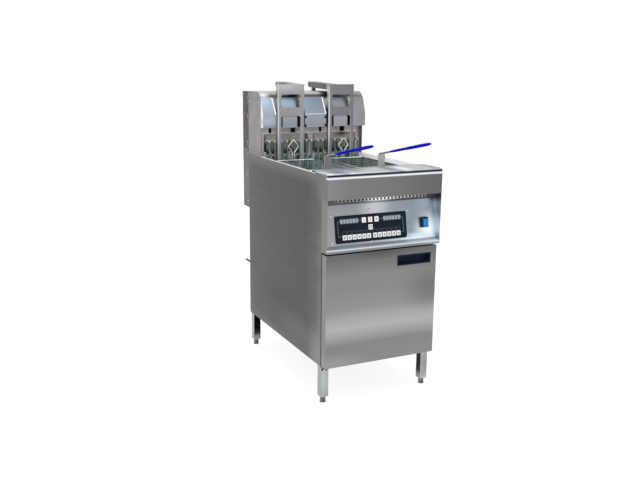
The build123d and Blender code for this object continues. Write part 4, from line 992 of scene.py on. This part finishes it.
def screws():
    """Screws of the control panel, the housing sides and the rear covers, and two bolts of a hinge plate."""
    small, large, housing_head, cover_head = 4.2, 6, 3.6, 3
    on_slope = ((-210.5, 109, small), (112.5, 108.4, small), (-212, 10.6, small), (117.5, 10.7, small),
                (-48, 4.6, small), (-49.5, 123, large))
    made = [on_panel(screw(head), x, up_slope, 0) for x, up_slope, head in on_slope]
    fit(coat(joined(made), screw_steel), "panel_screws", "cabinet", "panel_steel")
    housing_side, cover_depth = 240, 788
    made = []
    for side in (-1, 1):
        out = (0, side * quarter, 0)
        for depth, height in ((652, 1095), (652, 1010), (764, 1095), (764, 1010), (764, 900)):
            made.append(place(screw(housing_head), spot(side * housing_side, depth, height), out))
        for height in (660, 780, 866, 920, 1030, 1110):
            made.append(place(screw(cover_head), spot(side * housing_side, cover_depth, height), out))
    fit(coat(joined(made), screw_steel), "housing_screws", "cabinet", "side_steel")
    bolt_depth = 45
    bolts = [place(screw(small), spot(x, bolt_depth, height), to_front)
             for x, height in ((-231.5, 136.5), (-215, 134.5))]
    fit(coat(joined(bolts), nylon), "hinge_bolts", "cabinet", "black_nylon")


def vent_band():
    """Turned-down band of square vents under the fascia, with a black sheet behind as painted shade inside.
    """
    count, pitch, tall, thickness = 25, 15.3, 9.0, 0.8
    opening_wide, opening_tall = 7.8, 7.0
    first, height, band_depth = -206, 780.6, 0.6
    shade_sheet_depth, shade_sheet_thickness, shade_sheet_edge, narrower, lower = 2.2, 0.5, 0.2, 1.0, 0.6
    fresh()
    bpy.ops.mesh.primitive_plane_add(size=mm)
    band = bpy.context.object
    bpy.ops.object.mode_set(mode="EDIT")
    bpy.ops.mesh.select_all(action="SELECT")
    bpy.ops.transform.resize(value=(pitch, tall, 1), center_override=(0, 0, 0))
    bpy.ops.mesh.inset(thickness=(tall - opening_tall) / 2 * mm)
    inset_wide = pitch - tall + opening_tall
    bpy.ops.transform.resize(value=(opening_wide / inset_wide, 1, 1), center_override=(0, 0, 0))
    bpy.ops.mesh.delete(type="FACE")
    bpy.ops.object.mode_set(mode="OBJECT")
    repeat(band, count, (pitch * mm, 0, 0))
    bpy.ops.object.mode_set(mode="EDIT")
    clean()
    thick = band.modifiers.new("sheet", "SOLIDIFY")
    thick.thickness = thickness * mm
    bpy.ops.object.modifier_apply(modifier=thick.name)
    coat(place(band, spot(first, band_depth, height), to_front), vent_sheet)
    # A black sheet behind the vents: painted shade of the dark inside.
    shade_sheet = block(count * pitch - narrower, tall - lower, shade_sheet_thickness, edge=shade_sheet_edge)
    middle = first + (count - 1) * pitch / 2
    coat(place(shade_sheet, spot(middle, shade_sheet_depth, height), to_front), nylon)
    fit(joined([band, shade_sheet]), "vent_band", "cabinet", "front_steel")


def hems():
    """Rolled hems along the side edges of the deck and along the hood's slots, near white as a painted
    highlight of those edges.
    """
    deck_side, deck_middle, deck_height, deck_length = 238.5, 366.5, 870.3, 527
    hem_breadth, hem_tall, hem_round = 3.4, 2.6, 1.1
    made = []
    for side in (-1, 1):
        hem = block(hem_breadth, deck_length, hem_tall, edge=hem_round)
        made.append(place(hem, spot(side * deck_side, deck_middle, deck_height)))
    fit(coat(joined(made), hem_painted_highlight), "deck_hems", "cabinet", "vat_steel")
    slot_foot, slot_top, slot_wire = (607.2, 1047), (631.2, 1114), 3.2
    made = []
    for low, high in ((-183, -191), (48, 40)):
        made.append(wire([spot(low, *slot_foot), spot(high, *slot_top)], slot_wire, bend=1))
    fit(coat(joined(made), hem_painted_highlight), "slot_hems", "cabinet", "bright_steel")


hairpins()
baskets()
levelling_feet()
nylon_studs()
keys()
displays()
keypad_print()
screws()
vent_band()
hems()


# Floor, light and camera

def straight_rays(tree):
    """1 for rays that come from the eye, a mirror or glass, and 0 for light scattered onto the machine."""
    ray = add(tree, "ShaderNodeLightPath")
    seen = add(tree, "ShaderNodeMath", {0: ray.outputs["Is Camera Ray"], 1: ray.outputs["Is Glossy Ray"]},
               operation="ADD")
    return add(tree, "ShaderNodeMath", {0: seen.outputs[0], 1: ray.outputs["Is Transmission Ray"]},
               operation="ADD", use_clamp=True).outputs[0]


def floor():
    """Pale floor that keeps the machine's soft shadow."""
    size = 14
    fresh()
    bpy.ops.mesh.primitive_plane_add(size=size, location=(0, 0, 0))
    ground = bpy.context.object
    bpy.ops.object.transform_apply(location=True, rotation=True, scale=True)
    ground.name = "studio_floor"
    material = bpy.data.materials.new("pale studio floor")
    material.use_nodes = True
    tree = material.node_tree
    tree.nodes.clear()
    matt = add(tree, "ShaderNodeBsdfDiffuse", {"Color": linear("#e6e6e6")})
    faint = add(tree, "ShaderNodeBsdfDiffuse", {"Color": linear("#8a8a8a")})
    glow = add(tree, "ShaderNodeEmission", {"Strength": 0.86})
    pale = add(tree, "ShaderNodeAddShader", {0: faint.outputs[0], 1: glow.outputs[0]})
    either = add(tree, "ShaderNodeMixShader", {0: straight_rays(tree), 1: matt.outputs[0],
                                               2: pale.outputs[0]})
    add(tree, "ShaderNodeOutputMaterial", {"Surface": either.outputs[0]})
    coat(ground, material)


def studio():
    """White room, with soft boxes to the left, to the right and above.

    Each box has its name, its place and size in metres, and its watts.
    """
    boxes = (("left soft box", (-2.6, -2.6, 2.9), 2.4, 26), ("right soft box", (2.8, -2.4, 2.2), 2.0, 9),
             ("top soft box", (0.3, 0.4, 3.6), 2.6, 22))
    machine_middle = Vector((0, 0, 0.7))
    world = bpy.data.worlds.new("white studio")
    bpy.context.scene.world = world
    world.use_nodes = True
    tree = world.node_tree
    tree.nodes.clear()
    level = add(tree, "ShaderNodeMapRange", {"Value": straight_rays(tree), "To Min": 0.8, "To Max": 1.0})
    white = add(tree, "ShaderNodeBackground", {"Color": (1, 1, 1, 1), "Strength": level.outputs[0]})
    add(tree, "ShaderNodeOutputWorld", {"Surface": white.outputs[0]})
    for name, where, size, power in boxes:
        fresh()
        bpy.ops.object.light_add(type="AREA", location=where)
        soft_box = bpy.context.object
        soft_box.name = name
        soft_box.data.size = size
        soft_box.data.energy = power
        aim = machine_middle - soft_box.location
        soft_box.rotation_euler = aim.to_track_quat("-Z", "Y").to_euler()


def camera():
    """Camera fitted to the photograph: in front, to the left, a little above the worktop."""
    stand = (-1.4574, -2.8273, 1.2643)
    yaw, pitch, roll = (math.radians(angle) for angle in (25.870, 12.748, -0.588))
    ahead = Vector((math.sin(yaw) * math.cos(pitch), math.cos(yaw) * math.cos(pitch), -math.sin(pitch)))
    level = Vector((math.cos(yaw), -math.sin(yaw), 0))
    down = ahead.cross(level)
    across = level * math.cos(roll) + down * math.sin(roll)
    below = down * math.cos(roll) - level * math.sin(roll)
    fresh()
    bpy.ops.object.camera_add()
    view = bpy.context.object
    view.name = "photo camera"
    view.data.sensor_width = 36
    view.data.sensor_fit = "HORIZONTAL"
    view.data.lens = 44.43
    turn = Matrix((across, -below, -ahead)).transposed().to_4x4()
    view.matrix_world = Matrix.Translation(stand) @ turn
    bpy.context.scene.camera = view


floor()
studio()
camera()
bpy.context.scene.view_settings.view_transform = "Standard"
fresh()
